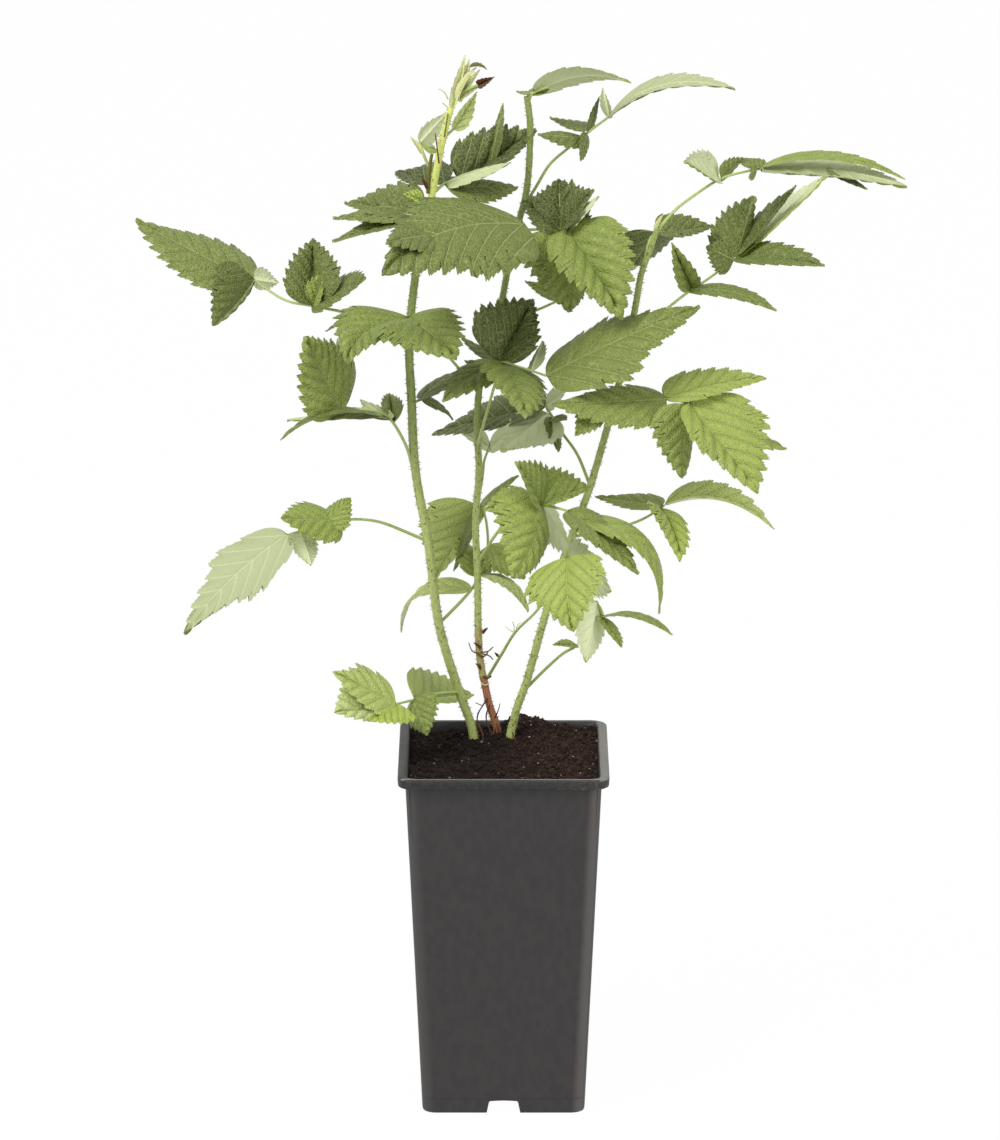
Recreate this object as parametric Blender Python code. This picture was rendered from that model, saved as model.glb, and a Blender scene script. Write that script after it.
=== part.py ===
"""A young raspberry plant in a tall square nursery pot.

Three canes stand in the compost of the pot. Each compound leaf is one piece: a stalk with its
leaflets, grown from the side of a cane. Lengths are in metres, and the plan of the plant is
written in whole millimetres from the middle of the pot. The origin is on the ground under the
middle of the whole plant's spread.
"""
import math

import bmesh
import bpy
from mathutils import Matrix, Vector

MM = 0.001
GAP = 0.0003                 # clearance between two pieces that touch
POT_PLACE = Vector((-0.007, 0.004, 0.0))     # the pot's middle, seen from the origin

# the pot
POT_HEIGHT = 0.204
RIM_WIDTH = 0.120            # outer width of the rim
RIM_DEPTH = 0.0055           # height of the rim's skirt
RIM_SKIRT = 0.0016           # thickness of the rim's skirt and top
TOP_WIDTH = 0.1113           # outer width of the wall just under the rim
BASE_WIDTH = 0.0933          # outer width of the wall at the ground
CORNER_RADIUS = 0.009
WALL = 0.0017
FLOOR_LEVEL = 0.009          # underside of the raised floor
FLOOR_THICKNESS = 0.002
NOTCH_WIDTH = 0.0185         # the slot at the foot of each wall
NOTCH_HEIGHT = 0.0075
DRAIN_RADIUS = 0.0045
DRAIN_SPACING = 0.026

# the compost
SOIL_LEVEL = 0.198
SOIL_STEPS = 10

# the plant
CANE_SIDES = 2               # bevel resolution of a cane
STALK_RADIUS = 0.0010
LEAF_THICKNESS = 0.0005
ROOT_OVERLAP = 0.0012        # how far a blade's root reaches back into its stalk
BLUNT_TIP = 0.985            # share of the length at which the blade ends
SMALL_LEAFLET = 0.029        # a leaflet narrower than this takes a coarser grid
ROW_SLANT = 0.35             # how far the side veins sweep forward
LEAFLET_HEART = 0.42         # exponents of the leaflet's outline at its base and at its tip
LEAFLET_TAPER = 1.0
OUTLINE_PEAK = 0.422
UP_HINT = Vector((0.0, -0.5, 0.87)).normalized()

# each cane: points of its centre line and its radius at the soil, halfway and at the tip
CANES = {
    "cane_left": dict(
        route=[(-14, 29, 182), (-17, 28, 202), (-19, 28, 212), (-26, 25, 233),
               (-37, 18, 274), (-43, 10, 325), (-50, 7, 368), (-52, 3, 410), (-53, 0, 445),
               (-49, -3, 486), (-41, -5, 525), (-34, -7, 562), (-28, -8, 584), (-24, -8, 601),
               (-22, -8, 609)],
        radii=(2.6, 2.5, 1.6)),
    "cane_middle": dict(
        route=[(-2, 33, 182), (-3, 32, 203), (-5, 32, 212), (-8, 32, 221), (-10, 32, 230),
               (-14, 34, 254), (-15, 35, 300), (-16, 36, 330),
               (-14, 36, 360), (-15, 35, 384), (-13, 33, 414), (-2, 30, 456), (5, 28, 494),
               (13, 26, 526), (15, 24, 561), (13, 24, 580)],
        radii=(2.3, 2.0, 1.8)),
    "cane_right": dict(
        route=[(3, 23, 182), (4, 24, 205), (6, 24, 214), (8, 23, 223), (14, 21, 241),
               (23, 14, 277), (33, 7, 312), (44, 3, 344), (52, 0, 370), (64, -4, 417),
               (73, -7, 461), (77, -9, 485), (82, -11, 500), (86, -12, 513)],
        radii=(2.4, 2.2, 1.6)),
}


def leaflet(base, tip, width, roll=0, fold=0, arch=0, sweep=0, lean=0):
    """Where a leaflet starts and ends, how wide it is and how it is turned and bent.

    A lean makes the half on its right wider than the half on its left.
    """
    return dict(base=base, tip=tip, width=width, roll=roll, fold=fold, arch=arch, sweep=sweep,
                lean=lean)


# each leaf: the cane it grows from, its stalk from that cane's centre line, and its leaflets
LEAVES = {
    "leaf_far_left": dict(cane="cane_left", stalk=[
        (-53, -1, 458), (-87, 14, 458), (-108, 26, 459), (-125, 38, 460), (-143, 52, 469)],
        leaflets=[
            leaflet((-144, 52, 468), (-211, 80, 496), 45, roll=8, fold=-8),
            leaflet((-142, 51, 469), (-166, 38, 445), 29, roll=-82, fold=-19, arch=3, lean=0.7),
            leaflet((-143, 52, 469), (-128, 50, 467), 16, roll=-97, fold=6),
            leaflet((-108, 26, 459), (-108, 45, 494), 42, roll=-9, fold=38, lean=0.1),
            leaflet((-108, 26, 459), (-101, 28, 478), 19, roll=-9, fold=38),
            leaflet((-108, 26, 459), (-77, 4, 480), 32, roll=-1, fold=-3, lean=-0.35),
            leaflet((-86, 14, 458), (-101, 30, 443), 10)]),
    "leaf_left_bow": dict(cane="cane_middle", stalk=[
        (-15, 34, 407), (-22, 20, 420), (-29, 6, 432), (-40, -10, 449), (-53, -18, 462)],
        leaflets=[
            leaflet((-53, -18, 462), (-87, -50, 443), 46, roll=15, fold=6, arch=4, sweep=8,
                    lean=0.15),
            leaflet((-53, -18, 462), (-26, -60, 448), 54, roll=-4, fold=10, arch=3, lean=0.2)]),
    "leaf_left_middle": dict(cane="cane_left", stalk=[
        (-52, 7, 371), (-55, 2, 383), (-62, -8, 399), (-69, -16, 407), (-80, -16, 409),
        (-91, -14, 408)],
        leaflets=[
            leaflet((-91, -14, 408), (-112, -24, 453), 55, roll=4, fold=-10, lean=0.18),
            leaflet((-76, -16, 409), (-122, -12, 402), 20, roll=208, fold=4),
            leaflet((-67, -14, 405), (-109, 6, 401), 18, roll=209, fold=2),
            leaflet((-64, -10, 401), (-125, -32, 395), 25, roll=36, arch=11),
            leaflet((-62, -8, 399), (-65, 26, 408), 17, fold=43),
            leaflet((-65, -11, 402), (-81, 8, 409), 16, roll=-160)]),
    "leaf_left_inner": dict(cane="cane_left", stalk=[(-51, 3, 408), (-47, 8, 409)],
        leaflets=[
            leaflet((-47, 8, 409), (-18, 34, 419), 18, roll=-32, fold=-2, arch=4),
            leaflet((-47, 8, 409), (-14, 14, 420), 18, roll=-35, fold=-2, arch=2),
            leaflet((-47, 8, 409), (-34, -2, 417), 9, roll=-14),
            leaflet((-47, 8, 409), (-29, 26, 392), 14, roll=-2, arch=3)]),
    "leaf_centre_upper": dict(cane="cane_middle", stalk=[
        (-15, 35, 375), (-10, 18, 397), (-5, 2, 419), (-2, -12, 435), (9, -22, 435),
        (24, -30, 432)],
        leaflets=[
            leaflet((-2, -12, 435), (17, 8, 467), 46, roll=12, fold=35, lean=-0.2),
            leaflet((-1, -13, 435), (12, -62, 415), 43, roll=-27, fold=2, arch=4),
            leaflet((-2, -11, 434), (-34, -40, 419), 32, roll=16, fold=-7, arch=4),
            leaflet((-2, -11, 434), (-22, 4, 432), 14, roll=6, fold=-9),
            leaflet((16, -26, 434), (22, -4, 446), 14, roll=137, fold=9),
            leaflet((-2, -11, 434), (-25, 16, 444), 14, roll=25),
            leaflet((24, -30, 432), (110, -26, 470), 44, roll=-1, fold=-11, arch=3)]),
    "leaf_centre": dict(cane="cane_right", stalk=[
        (49, 2, 360), (42, 10, 376), (33, 20, 387), (24, 30, 400)],
        leaflets=[
            leaflet((24, 30, 399), (-41, 77, 370), 34, roll=-1, fold=11, arch=2),
            leaflet((26, 27, 396), (-2, 8, 379), 38, roll=-167, fold=-1, lean=0.15),
            leaflet((28, 25, 394), (31, 4, 379), 14, roll=-44, fold=-9),
            leaflet((28, 25, 394), (36, 8, 397), 10, roll=6, fold=4),
            leaflet((24, 30, 400), (37, 46, 406), 15, roll=-96, fold=3)]),
    "leaf_centre_pale": dict(cane="cane_middle", stalk=[
        (-14, 36, 345), (-12, 45, 355), (-11, 52, 362), (-8, 56, 369)],
        leaflets=[
            leaflet((-8, 56, 369), (-30, 76, 377), 20, roll=85, fold=13),
            leaflet((-8, 56, 369), (10, 74, 378), 17, roll=-91, fold=2)]),
    "leaf_right_middle": dict(cane="cane_right", stalk=[
        (62, -3, 409), (77, -18, 413), (91, -28, 418), (104, -34, 417)],
        leaflets=[
            leaflet((91, -28, 418), (27, -46, 419), 36, roll=1, fold=-10, lean=-0.1),
            leaflet((54, -39, 418), (40, -45, 401), 21, roll=6),
            leaflet((90, -27, 418), (148, -6, 424), 32, roll=-11, fold=12, arch=3),
            leaflet((103, -34, 417), (99, -46, 377), 41, roll=-54, fold=-25),
            leaflet((104, -34, 417), (141, -66, 373), 51, roll=-14, fold=16, lean=-0.25),
            leaflet((104, -34, 417), (159, -10, 384), 30, roll=-7, fold=-13)]),
    "leaf_centre_lower": dict(cane="cane_middle", stalk=[
        (-14, 35, 307), (-3, 10, 331), (9, -12, 348), (21, -30, 357), (36, -38, 356)],
        leaflets=[
            leaflet((21, -30, 357), (6, -44, 386), 30, roll=-2, fold=17, lean=0.2),
            leaflet((21, -30, 357), (49, -22, 365), 34, roll=-10, fold=26, lean=-0.35),
            leaflet((21, -30, 357), (4, -64, 324), 50, roll=-58, fold=-21, arch=6, lean=0.2),
            leaflet((20, -29, 358), (-11, -55, 361), 27, roll=-16, fold=-5, arch=2),
            leaflet((22, -30, 357), (39, -12, 324), 25, roll=-165, fold=12),
            leaflet((36, -38, 356), (75, -58, 324), 34, roll=-22, fold=13, arch=3, lean=0.25),
            leaflet((42, -38, 351), (87, -40, 296), 29, roll=-31, arch=20)]),
    "leaf_right_low": dict(cane="cane_right", stalk=[
        (39, 5, 329), (53, 2, 333), (66, 0, 336), (80, -2, 342), (91, -4, 350)],
        leaflets=[
            leaflet((90, -4, 350), (52, 14, 350), 25, roll=21, fold=3),
            leaflet((89, -4, 348), (99, -34, 325), 33, roll=-36, fold=18, arch=3, lean=0.3),
            leaflet((91, -4, 350), (153, -16, 339), 24, roll=-12, fold=32, arch=12)]),
    "leaf_front_yellow": dict(cane="cane_middle", stalk=[
        (-10, 33, 236), (-1, 18, 256), (7, 2, 274), (19, -24, 294), (30, -46, 317),
        (36, -60, 335)],
        leaflets=[
            leaflet((36, -60, 335), (39, -90, 300), 47, roll=27, fold=2, arch=5),
            leaflet((36, -58, 334), (61, -34, 308), 34, roll=-160, fold=-5)]),
    "leaf_low_right": dict(cane="cane_right", stalk=[
        (12, 22, 233), (23, 24, 244), (34, 22, 255), (42, 18, 261), (49, 12, 272), (56, 8, 281),
        (53, 6, 291)],
        leaflets=[
            leaflet((53, 6, 291), (47, -20, 262), 27, roll=129, fold=12),
            leaflet((42, 18, 261), (28, 6, 265), 10, roll=8, fold=14),
            leaflet((56, 8, 281), (96, -10, 275), 20, roll=-34, arch=6),
            leaflet((56, 8, 281), (67, -14, 269), 16, roll=-40, fold=8)]),
    "leaf_bottom_left": dict(cane="cane_left", stalk=[
        (-25, 25, 231), (-38, 12, 234), (-51, 0, 234), (-63, -10, 234)],
        leaflets=[
            leaflet((-63, -10, 234), (-96, -36, 237), 35, roll=-25, lean=0.5),
            leaflet((-62, -9, 235), (-97, -32, 260), 26, roll=-20),
            leaflet((-61, -8, 234), (-77, -30, 230), 27, roll=13, fold=-8, lean=-0.35),
            leaflet((-51, 0, 234), (-18, 84, 211), 32, roll=18, fold=24, lean=-0.3),
            leaflet((-52, 0, 234), (-43, -14, 217), 28, roll=58, fold=-10, lean=-0.15)]),
    "leaf_left_low": dict(cane="cane_left", stalk=[
        (-43, 10, 325), (-57, 4, 333), (-69, -4, 340), (-80, -12, 344), (-92, -18, 345),
        (-106, -24, 343), (-121, -30, 340)],
        leaflets=[
            leaflet((-92, -18, 345), (-125, -44, 353), 34, roll=-8, fold=-15, lean=0.1),
            leaflet((-100, -22, 345), (-86, -18, 358), 24, roll=-8, fold=-15),
            leaflet((-121, -30, 340), (-180, -50, 288), 40, roll=-170, fold=-10, sweep=-5,
                    lean=0.15),
            leaflet((-115, -27, 341), (-108, -40, 325), 22, roll=147, fold=4)]),
    "leaf_centre_behind": dict(cane="cane_left", stalk=[
        (-37, 18, 274), (-20, 34, 288), (-12, 48, 298), (-9, 56, 310), (-10, 60, 324),
        (-13, 60, 334)],
        leaflets=[
            leaflet((-19, 36, 289), (-59, 58, 257), 22, roll=23, arch=15),
            leaflet((-13, 46, 296), (14, 34, 276), 25, roll=-41, fold=-2, arch=7, lean=0.4),
            leaflet((-13, 60, 333), (-40, 70, 288), 39, roll=-85, fold=-19, lean=0.4),
            leaflet((-13, 60, 333), (-29, 44, 298), 18, roll=-87, fold=-2),
            leaflet((-12, 47, 294), (-27, 62, 314), 27, roll=31),
            leaflet((-9, 56, 310), (12, 44, 293), 34, roll=-24, fold=-1),
            leaflet((-12, 60, 333), (-23, 50, 318), 10, roll=-72, fold=9),
            leaflet((-13, 60, 334), (9, 44, 355), 16, roll=-8)]),
    "leaf_upper_big": dict(cane="cane_middle", stalk=[(5, 28, 497), (9, 8, 506), (11, -24, 517)],
        leaflets=[
            leaflet((11, -24, 517), (-67, -78, 500), 68, fold=-6, arch=6, sweep=10, lean=-0.12),
            leaflet((-38, -48, 516), (-65, -70, 516), 30, fold=-4, arch=2)]),
    "leaf_upper_left": dict(cane="cane_left", stalk=[(-42, -5, 520), (-46, -14, 521)],
        leaflets=[
            leaflet((-46, -14, 521), (-89, 6, 522), 38, roll=7, fold=23),
            leaflet((-46, -14, 521), (-95, -24, 520), 30, roll=23, fold=4),
            leaflet((-46, -14, 521), (-95, -34, 509), 27, roll=25, fold=10),
            leaflet((-46, -13, 521), (-53, -16, 533), 10, roll=11)]),
    "leaf_crown_left": dict(cane="cane_left", stalk=[
        (-40, -5, 530), (-32, 4, 535), (-25, 16, 532)],
        leaflets=[
            leaflet((-25, 18, 532), (19, 40, 557), 41, roll=5, fold=38),
            leaflet((-7, 22, 543), (0, 40, 573), 13, roll=-49, fold=-3),
            leaflet((-32, 4, 535), (4, -12, 550), 17, roll=169, fold=10),
            leaflet((-33, 2, 534), (8, 20, 528), 32, roll=-12, fold=-3, lean=0.15),
            leaflet((-33, 4, 534), (-61, 35, 534), 30, roll=6, fold=18)]),
    "leaf_tip_pale": dict(cane="cane_left", stalk=[(-39, -6, 540), (-44, 0, 550), (-47, 4, 558)],
        leaflets=[
            leaflet((-47, 4, 558), (-32, 14, 573), 15, roll=-104, fold=3, lean=-0.25),
            leaflet((-47, 4, 558), (-37, 16, 550), 11, roll=25, fold=8)]),
    "leaf_tip_right": dict(cane="cane_left", stalk=[(-34, -7, 562), (-27, -4, 568)],
        leaflets=[
            leaflet((-28, -5, 567), (-15, -2, 588), 12, roll=70, fold=25)]),
    "leaf_tip_young": dict(cane="cane_left", stalk=[
        (-28, -8, 584), (-21, -14, 591), (-14, -18, 595)],
        leaflets=[
            leaflet((-14, -18, 595), (-5, -26, 601), 8, roll=69, fold=50)]),
    "leaf_upper_middle": dict(cane="cane_middle", stalk=[
        (7, 28, 503), (15, 22, 504), (29, 10, 507), (41, 0, 507)],
        leaflets=[
            leaflet((32, 8, 507), (10, 14, 522), 41, roll=-2, fold=22, lean=0.3),
            leaflet((32, 8, 507), (31, 16, 535), 34, roll=-2, fold=5),
            leaflet((32, 8, 507), (51, -2, 532), 30, roll=-4, fold=20, lean=-0.1),
            leaflet((33, 3, 506), (53, -8, 530), 14, roll=170),
            leaflet((36, 0, 509), (66, -32, 464), 52, roll=5, fold=25, arch=5, lean=-0.05),
            leaflet((33, 7, 507), (36, -12, 464), 54, roll=-41, fold=-13, arch=4, lean=0.12)]),
    "leaf_upper_inner": dict(cane="cane_middle", stalk=[
        (-3, 30, 449), (9, 27, 453), (20, 22, 458), (32, 16, 465)],
        leaflets=[
            leaflet((32, 16, 465), (12, 22, 474), 18, roll=17, fold=11),
            leaflet((32, 16, 465), (46, 10, 471), 12, roll=-9, fold=4)]),
    "leaf_top_middle": dict(cane="cane_middle", stalk=[
        (14, 24, 576), (16, 22, 582), (25, 16, 587)],
        leaflets=[
            leaflet((16, 22, 581), (27, 30, 586), 12, roll=-16, fold=7),
            leaflet((17, 21, 583), (71, 0, 592), 22, roll=-65, fold=2, arch=8),
            leaflet((16, 22, 582), (7, 34, 581), 7, roll=12)]),
    "leaf_top_arching": dict(cane="cane_middle", stalk=[
        (10, 27, 514), (18, 32, 526), (26, 34, 539), (36, 34, 548), (49, 32, 559), (59, 30, 567)],
        leaflets=[
            leaflet((48, 32, 559), (26, 46, 563), 21, roll=23, fold=-5, lean=0.45),
            leaflet((44, 33, 555), (19, 14, 560), 18, roll=1, fold=-16),
            leaflet((47, 32, 557), (43, 18, 544), 11, roll=-64, fold=-3),
            leaflet((48, 32, 559), (54, 40, 577), 9, roll=76),
            leaflet((59, 30, 567), (56, 44, 581), 11, roll=-131, fold=3),
            leaflet((59, 30, 567), (129, 8, 588), 25, roll=162, fold=-3, arch=-11, lean=0.3)]),
    "leaf_behind_right": dict(cane="cane_right", stalk=[
        (79, -10, 493), (82, 4, 502), (86, 12, 505)],
        leaflets=[
            leaflet((86, 12, 505), (71, 36, 478), 32, roll=-128, fold=-11),
            leaflet((86, 12, 505), (118, 24, 505), 23, roll=-2, fold=16, lean=-0.1)]),
    "leaf_right_upper": dict(cane="cane_right", stalk=[
        (70, -6, 448), (80, 0, 455), (90, 4, 461), (103, 10, 470), (115, 15, 477),
        (132, 22, 488)],
        leaflets=[
            leaflet((132, 22, 488), (141, 34, 521), 41, roll=42, fold=-47),
            leaflet((130, 21, 487), (114, 19, 495), 25, roll=-16, fold=-4),
            leaflet((132, 22, 488), (183, 62, 527), 31, roll=143, fold=-13, lean=0.12),
            leaflet((132, 22, 489), (166, 42, 525), 18, roll=-30, fold=13, lean=-0.3),
            leaflet((132, 22, 488), (180, -6, 489), 27, roll=-6, fold=15, arch=2),
            leaflet((106, 11, 473), (94, -6, 503), 18, roll=-76, fold=43),
            leaflet((105, 11, 472), (153, -10, 464), 22, roll=-19, fold=-3, arch=5, lean=-0.15)]),
    "leaf_top_right": dict(cane="cane_right", stalk=[
        (86, -12, 511), (94, -8, 520), (104, -2, 527), (121, 8, 536), (135, 14, 539),
        (145, 18, 540)],
        leaflets=[
            leaflet((121, 8, 536), (101, -8, 550), 24, roll=173, fold=-20, lean=-0.2),
            leaflet((122, 8, 536), (135, 22, 545), 13, roll=85, fold=-22, lean=-0.2),
            leaflet((145, 18, 541), (224, -8, 539), 16, roll=-18, fold=6, arch=10),
            leaflet((144, 17, 540), (133, 28, 544), 16, roll=16, fold=10),
            leaflet((142, 17, 539), (137, 4, 538), 9, roll=-85),
            leaflet((181, 5, 543), (203, -6, 533), 14, roll=-28),
            leaflet((145, 18, 540), (225, -10, 536), 34, roll=158, fold=-5, arch=-4, lean=0.05)]),
}


def clear_scene():
    for item in list(bpy.data.objects):
        bpy.data.objects.remove(item, do_unlink=True)


def new_collection(name):
    group = bpy.data.collections.new(name)
    bpy.context.scene.collection.children.link(group)
    return group


def new_material(name, colour, roughness, metallic=0.0):
    material = bpy.data.materials.new(name)
    material.use_nodes = True
    shader = material.node_tree.nodes["Principled BSDF"]
    shader.inputs["Base Color"].default_value = (*colour, 1.0)
    shader.inputs["Roughness"].default_value = roughness
    shader.inputs["Metallic"].default_value = metallic
    material.diffuse_color = (*colour, 1.0)
    return material


def new_object(name, mesh, group, material=None):
    item = bpy.data.objects.new(name, mesh)
    group.objects.link(item)
    if material:
        mesh.materials.append(material)
    return item


def hide_cutter(item):
    item.hide_render = True
    item.display_type = "WIRE"


def add_boolean(item, other, operation):
    step = item.modifiers.new(f"{operation.lower()} {other.name}", "BOOLEAN")
    step.operation = operation
    step.solver = "EXACT"
    step.object = other


def shade_round(mesh, angle=40.0):
    mesh.shade_smooth()
    mesh.set_sharp_from_angle(angle=math.radians(angle))


def metres(points):
    return [Vector(point) * MM for point in points]


# ---- tubes: canes and stalks

def tube_mesh(name, points, radii, resolution):
    """A closed round tube through the points, as a mesh with welded caps."""
    curve = bpy.data.curves.new(name, "CURVE")
    curve.dimensions = "3D"
    curve.bevel_depth = 1.0
    curve.bevel_resolution = resolution
    curve.use_fill_caps = True
    spline = curve.splines.new("POLY")
    spline.points.add(len(points) - 1)
    for knot, point, radius in zip(spline.points, points, radii):
        knot.co = (*point, 1.0)
        knot.radius = radius
    holder = bpy.data.objects.new(name, curve)
    bpy.context.scene.collection.objects.link(holder)
    evaluated = holder.evaluated_get(bpy.context.evaluated_depsgraph_get())
    mesh = bpy.data.meshes.new_from_object(evaluated)
    bpy.data.objects.remove(holder, do_unlink=True)
    bpy.data.curves.remove(curve)
    weld_and_orient(mesh)
    return mesh


def weld_and_orient(mesh):
    shape = bmesh.new()
    shape.from_mesh(mesh)
    bmesh.ops.remove_doubles(shape, verts=shape.verts, dist=1e-6)
    bmesh.ops.recalc_face_normals(shape, faces=shape.faces)
    shape.to_mesh(mesh)
    shape.free()


def cane_radii(plan, count, extra=0.0):
    low, middle, high = plan["radii"]
    radii = []
    for index in range(count):
        along = index / (count - 1)
        if along < 0.5:
            size = low + (middle - low) * along * 2
        else:
            size = middle + (high - middle) * (along - 0.5) * 2
        radii.append(size * MM + extra)
    return radii


def build_canes(parts, cutters, material):
    """The canes, and a slightly thicker copy of each that clears room for it."""
    clearances = {}
    for name, plan in CANES.items():
        points = metres(plan["route"])
        mesh = tube_mesh(name, points, cane_radii(plan, len(points)), CANE_SIDES)
        shade_round(mesh)
        new_object(name, mesh, parts, material)
        longer = [points[0] + (points[0] - points[1]).normalized() * GAP] + points[1:]
        wide = tube_mesh(name, longer, cane_radii(plan, len(points), GAP * 1.15), CANE_SIDES)
        clearances[name] = new_object(f"clear_{name}", wide, cutters)
        hide_cutter(clearances[name])
    return clearances


# ---- leaves

def outline(along):
    """Half width of a leaflet, as a share of its greatest half width."""
    return along ** LEAFLET_HEART * (1.0 - along) ** LEAFLET_TAPER / OUTLINE_PEAK


def leaflet_axes(plan):
    """Forward, right and upward axes of a leaflet, turned about its midrib by its roll."""
    base, tip = metres((plan["base"], plan["tip"]))
    forward = (tip - base).normalized()
    level = (UP_HINT - forward * UP_HINT.dot(forward)).normalized()
    upward = Matrix.Rotation(math.radians(plan["roll"]), 3, forward) @ level
    return forward, forward.cross(upward), upward


def place_leaf_point(plan, axes, along, across):
    """A point of the blade; along runs from base to tip, across from -1 to 1."""
    forward, right, upward = axes
    base, tip = metres((plan["base"], plan["tip"]))
    side = abs(across)
    reach = along + ROW_SLANT * side * along * (1.0 - along)
    margin = along + ROW_SLANT * along * (1.0 - along)
    lean = 1.0 + plan["lean"] * ((across > 0) - (across < 0))
    half = max(plan["width"] * MM / 2 * outline(margin) * lean, 0.7 * MM)
    bow = 4.0 * reach * (1.0 - reach)
    fold = math.radians(plan["fold"])
    rib = base.lerp(tip, reach) + (upward * plan["arch"] + right * plan["sweep"]) * MM * bow
    return rib + (right * math.cos(fold) * across + upward * math.sin(fold) * side) * half


def leaflet_mesh(name, plan, index):
    """A grid bent into the blade and thickened into a thin closed solid.

    Its root reaches into the stalk, a little beside the roots of the leaf's other blades.
    """
    fine = plan["width"] * MM > SMALL_LEAFLET
    rows, columns = (4, 4) if fine else (3, 2)
    axes = leaflet_axes(plan)
    forward, right, upward = axes
    aside = (right * 0.13 * (-1) ** index + upward * 0.09 * (index % 3 - 0.7)) * MM
    shape = bmesh.new()
    bmesh.ops.create_grid(shape, x_segments=columns, y_segments=rows, size=1.0)
    for corner in shape.verts:
        across, along = corner.co.x, (corner.co.y + 1.0) / 2
        corner.co = place_leaf_point(plan, axes, along * BLUNT_TIP, across) + aside
        if along < 1e-6:
            corner.co -= forward * ROOT_OVERLAP
    bmesh.ops.recalc_face_normals(shape, faces=shape.faces)
    bmesh.ops.solidify(shape, geom=shape.faces[:], thickness=LEAF_THICKNESS)
    bmesh.ops.recalc_face_normals(shape, faces=shape.faces)
    mesh = bpy.data.meshes.new(name)
    shape.to_mesh(mesh)
    shape.free()
    return mesh


def build_leaf(name, plan, parts, cutters, clearances, material):
    """One compound leaf: its stalk joined with its leaflets, cut clear of its cane."""
    points = metres(plan["stalk"])
    radii = [STALK_RADIUS * (1.15 - 0.35 * i / len(points)) for i in range(len(points))]
    mesh = tube_mesh(name, points, radii, 1)
    leaf = new_object(name, mesh, parts, material)
    for index, part in enumerate(plan["leaflets"]):
        blade = new_object(f"{name}_blade_{index}", leaflet_mesh(name, part, index), cutters)
        hide_cutter(blade)
        add_boolean(leaf, blade, "UNION")
    add_boolean(leaf, clearances[plan["cane"]], "DIFFERENCE")
    return leaf


# ---- pot

def tapered_block(name, group, low, high, width_low, width_high, radius):
    """A square block between two levels, wider at one end, with its upright edges rounded."""
    shape = bmesh.new()
    bmesh.ops.create_cube(shape, size=1.0)
    for corner in shape.verts:
        width = width_high if corner.co.z > 0 else width_low
        level = high if corner.co.z > 0 else low
        corner.co = (corner.co.x * width, corner.co.y * width, level)
    upright = [edge for edge in shape.edges if abs(edge.verts[0].co.z - edge.verts[1].co.z) > 1e-6]
    bmesh.ops.bevel(shape, geom=upright, offset=radius, segments=4, profile=0.5, affect="EDGES")
    bmesh.ops.recalc_face_normals(shape, faces=shape.faces)
    mesh = bpy.data.meshes.new(name)
    shape.to_mesh(mesh)
    shape.free()
    return new_object(name, mesh, group)


def wall_width(level):
    """Outer width of the pot's wall at a height above the ground."""
    return BASE_WIDTH + (TOP_WIDTH - BASE_WIDTH) * level / (POT_HEIGHT - RIM_DEPTH)


def box_cutter(name, group, size, centre):
    shape = bmesh.new()
    bmesh.ops.create_cube(shape, size=1.0)
    bmesh.ops.scale(shape, vec=size, verts=shape.verts)
    bmesh.ops.translate(shape, vec=centre, verts=shape.verts)
    mesh = bpy.data.meshes.new(name)
    shape.to_mesh(mesh)
    shape.free()
    return new_object(name, mesh, group)


def drain_cutter(name, group, centre):
    shape = bmesh.new()
    bmesh.ops.create_cone(shape, cap_ends=True, segments=12, radius1=DRAIN_RADIUS,
                          radius2=DRAIN_RADIUS, depth=0.012)
    bmesh.ops.translate(shape, vec=centre, verts=shape.verts)
    mesh = bpy.data.meshes.new(name)
    shape.to_mesh(mesh)
    shape.free()
    return new_object(name, mesh, group)


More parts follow.
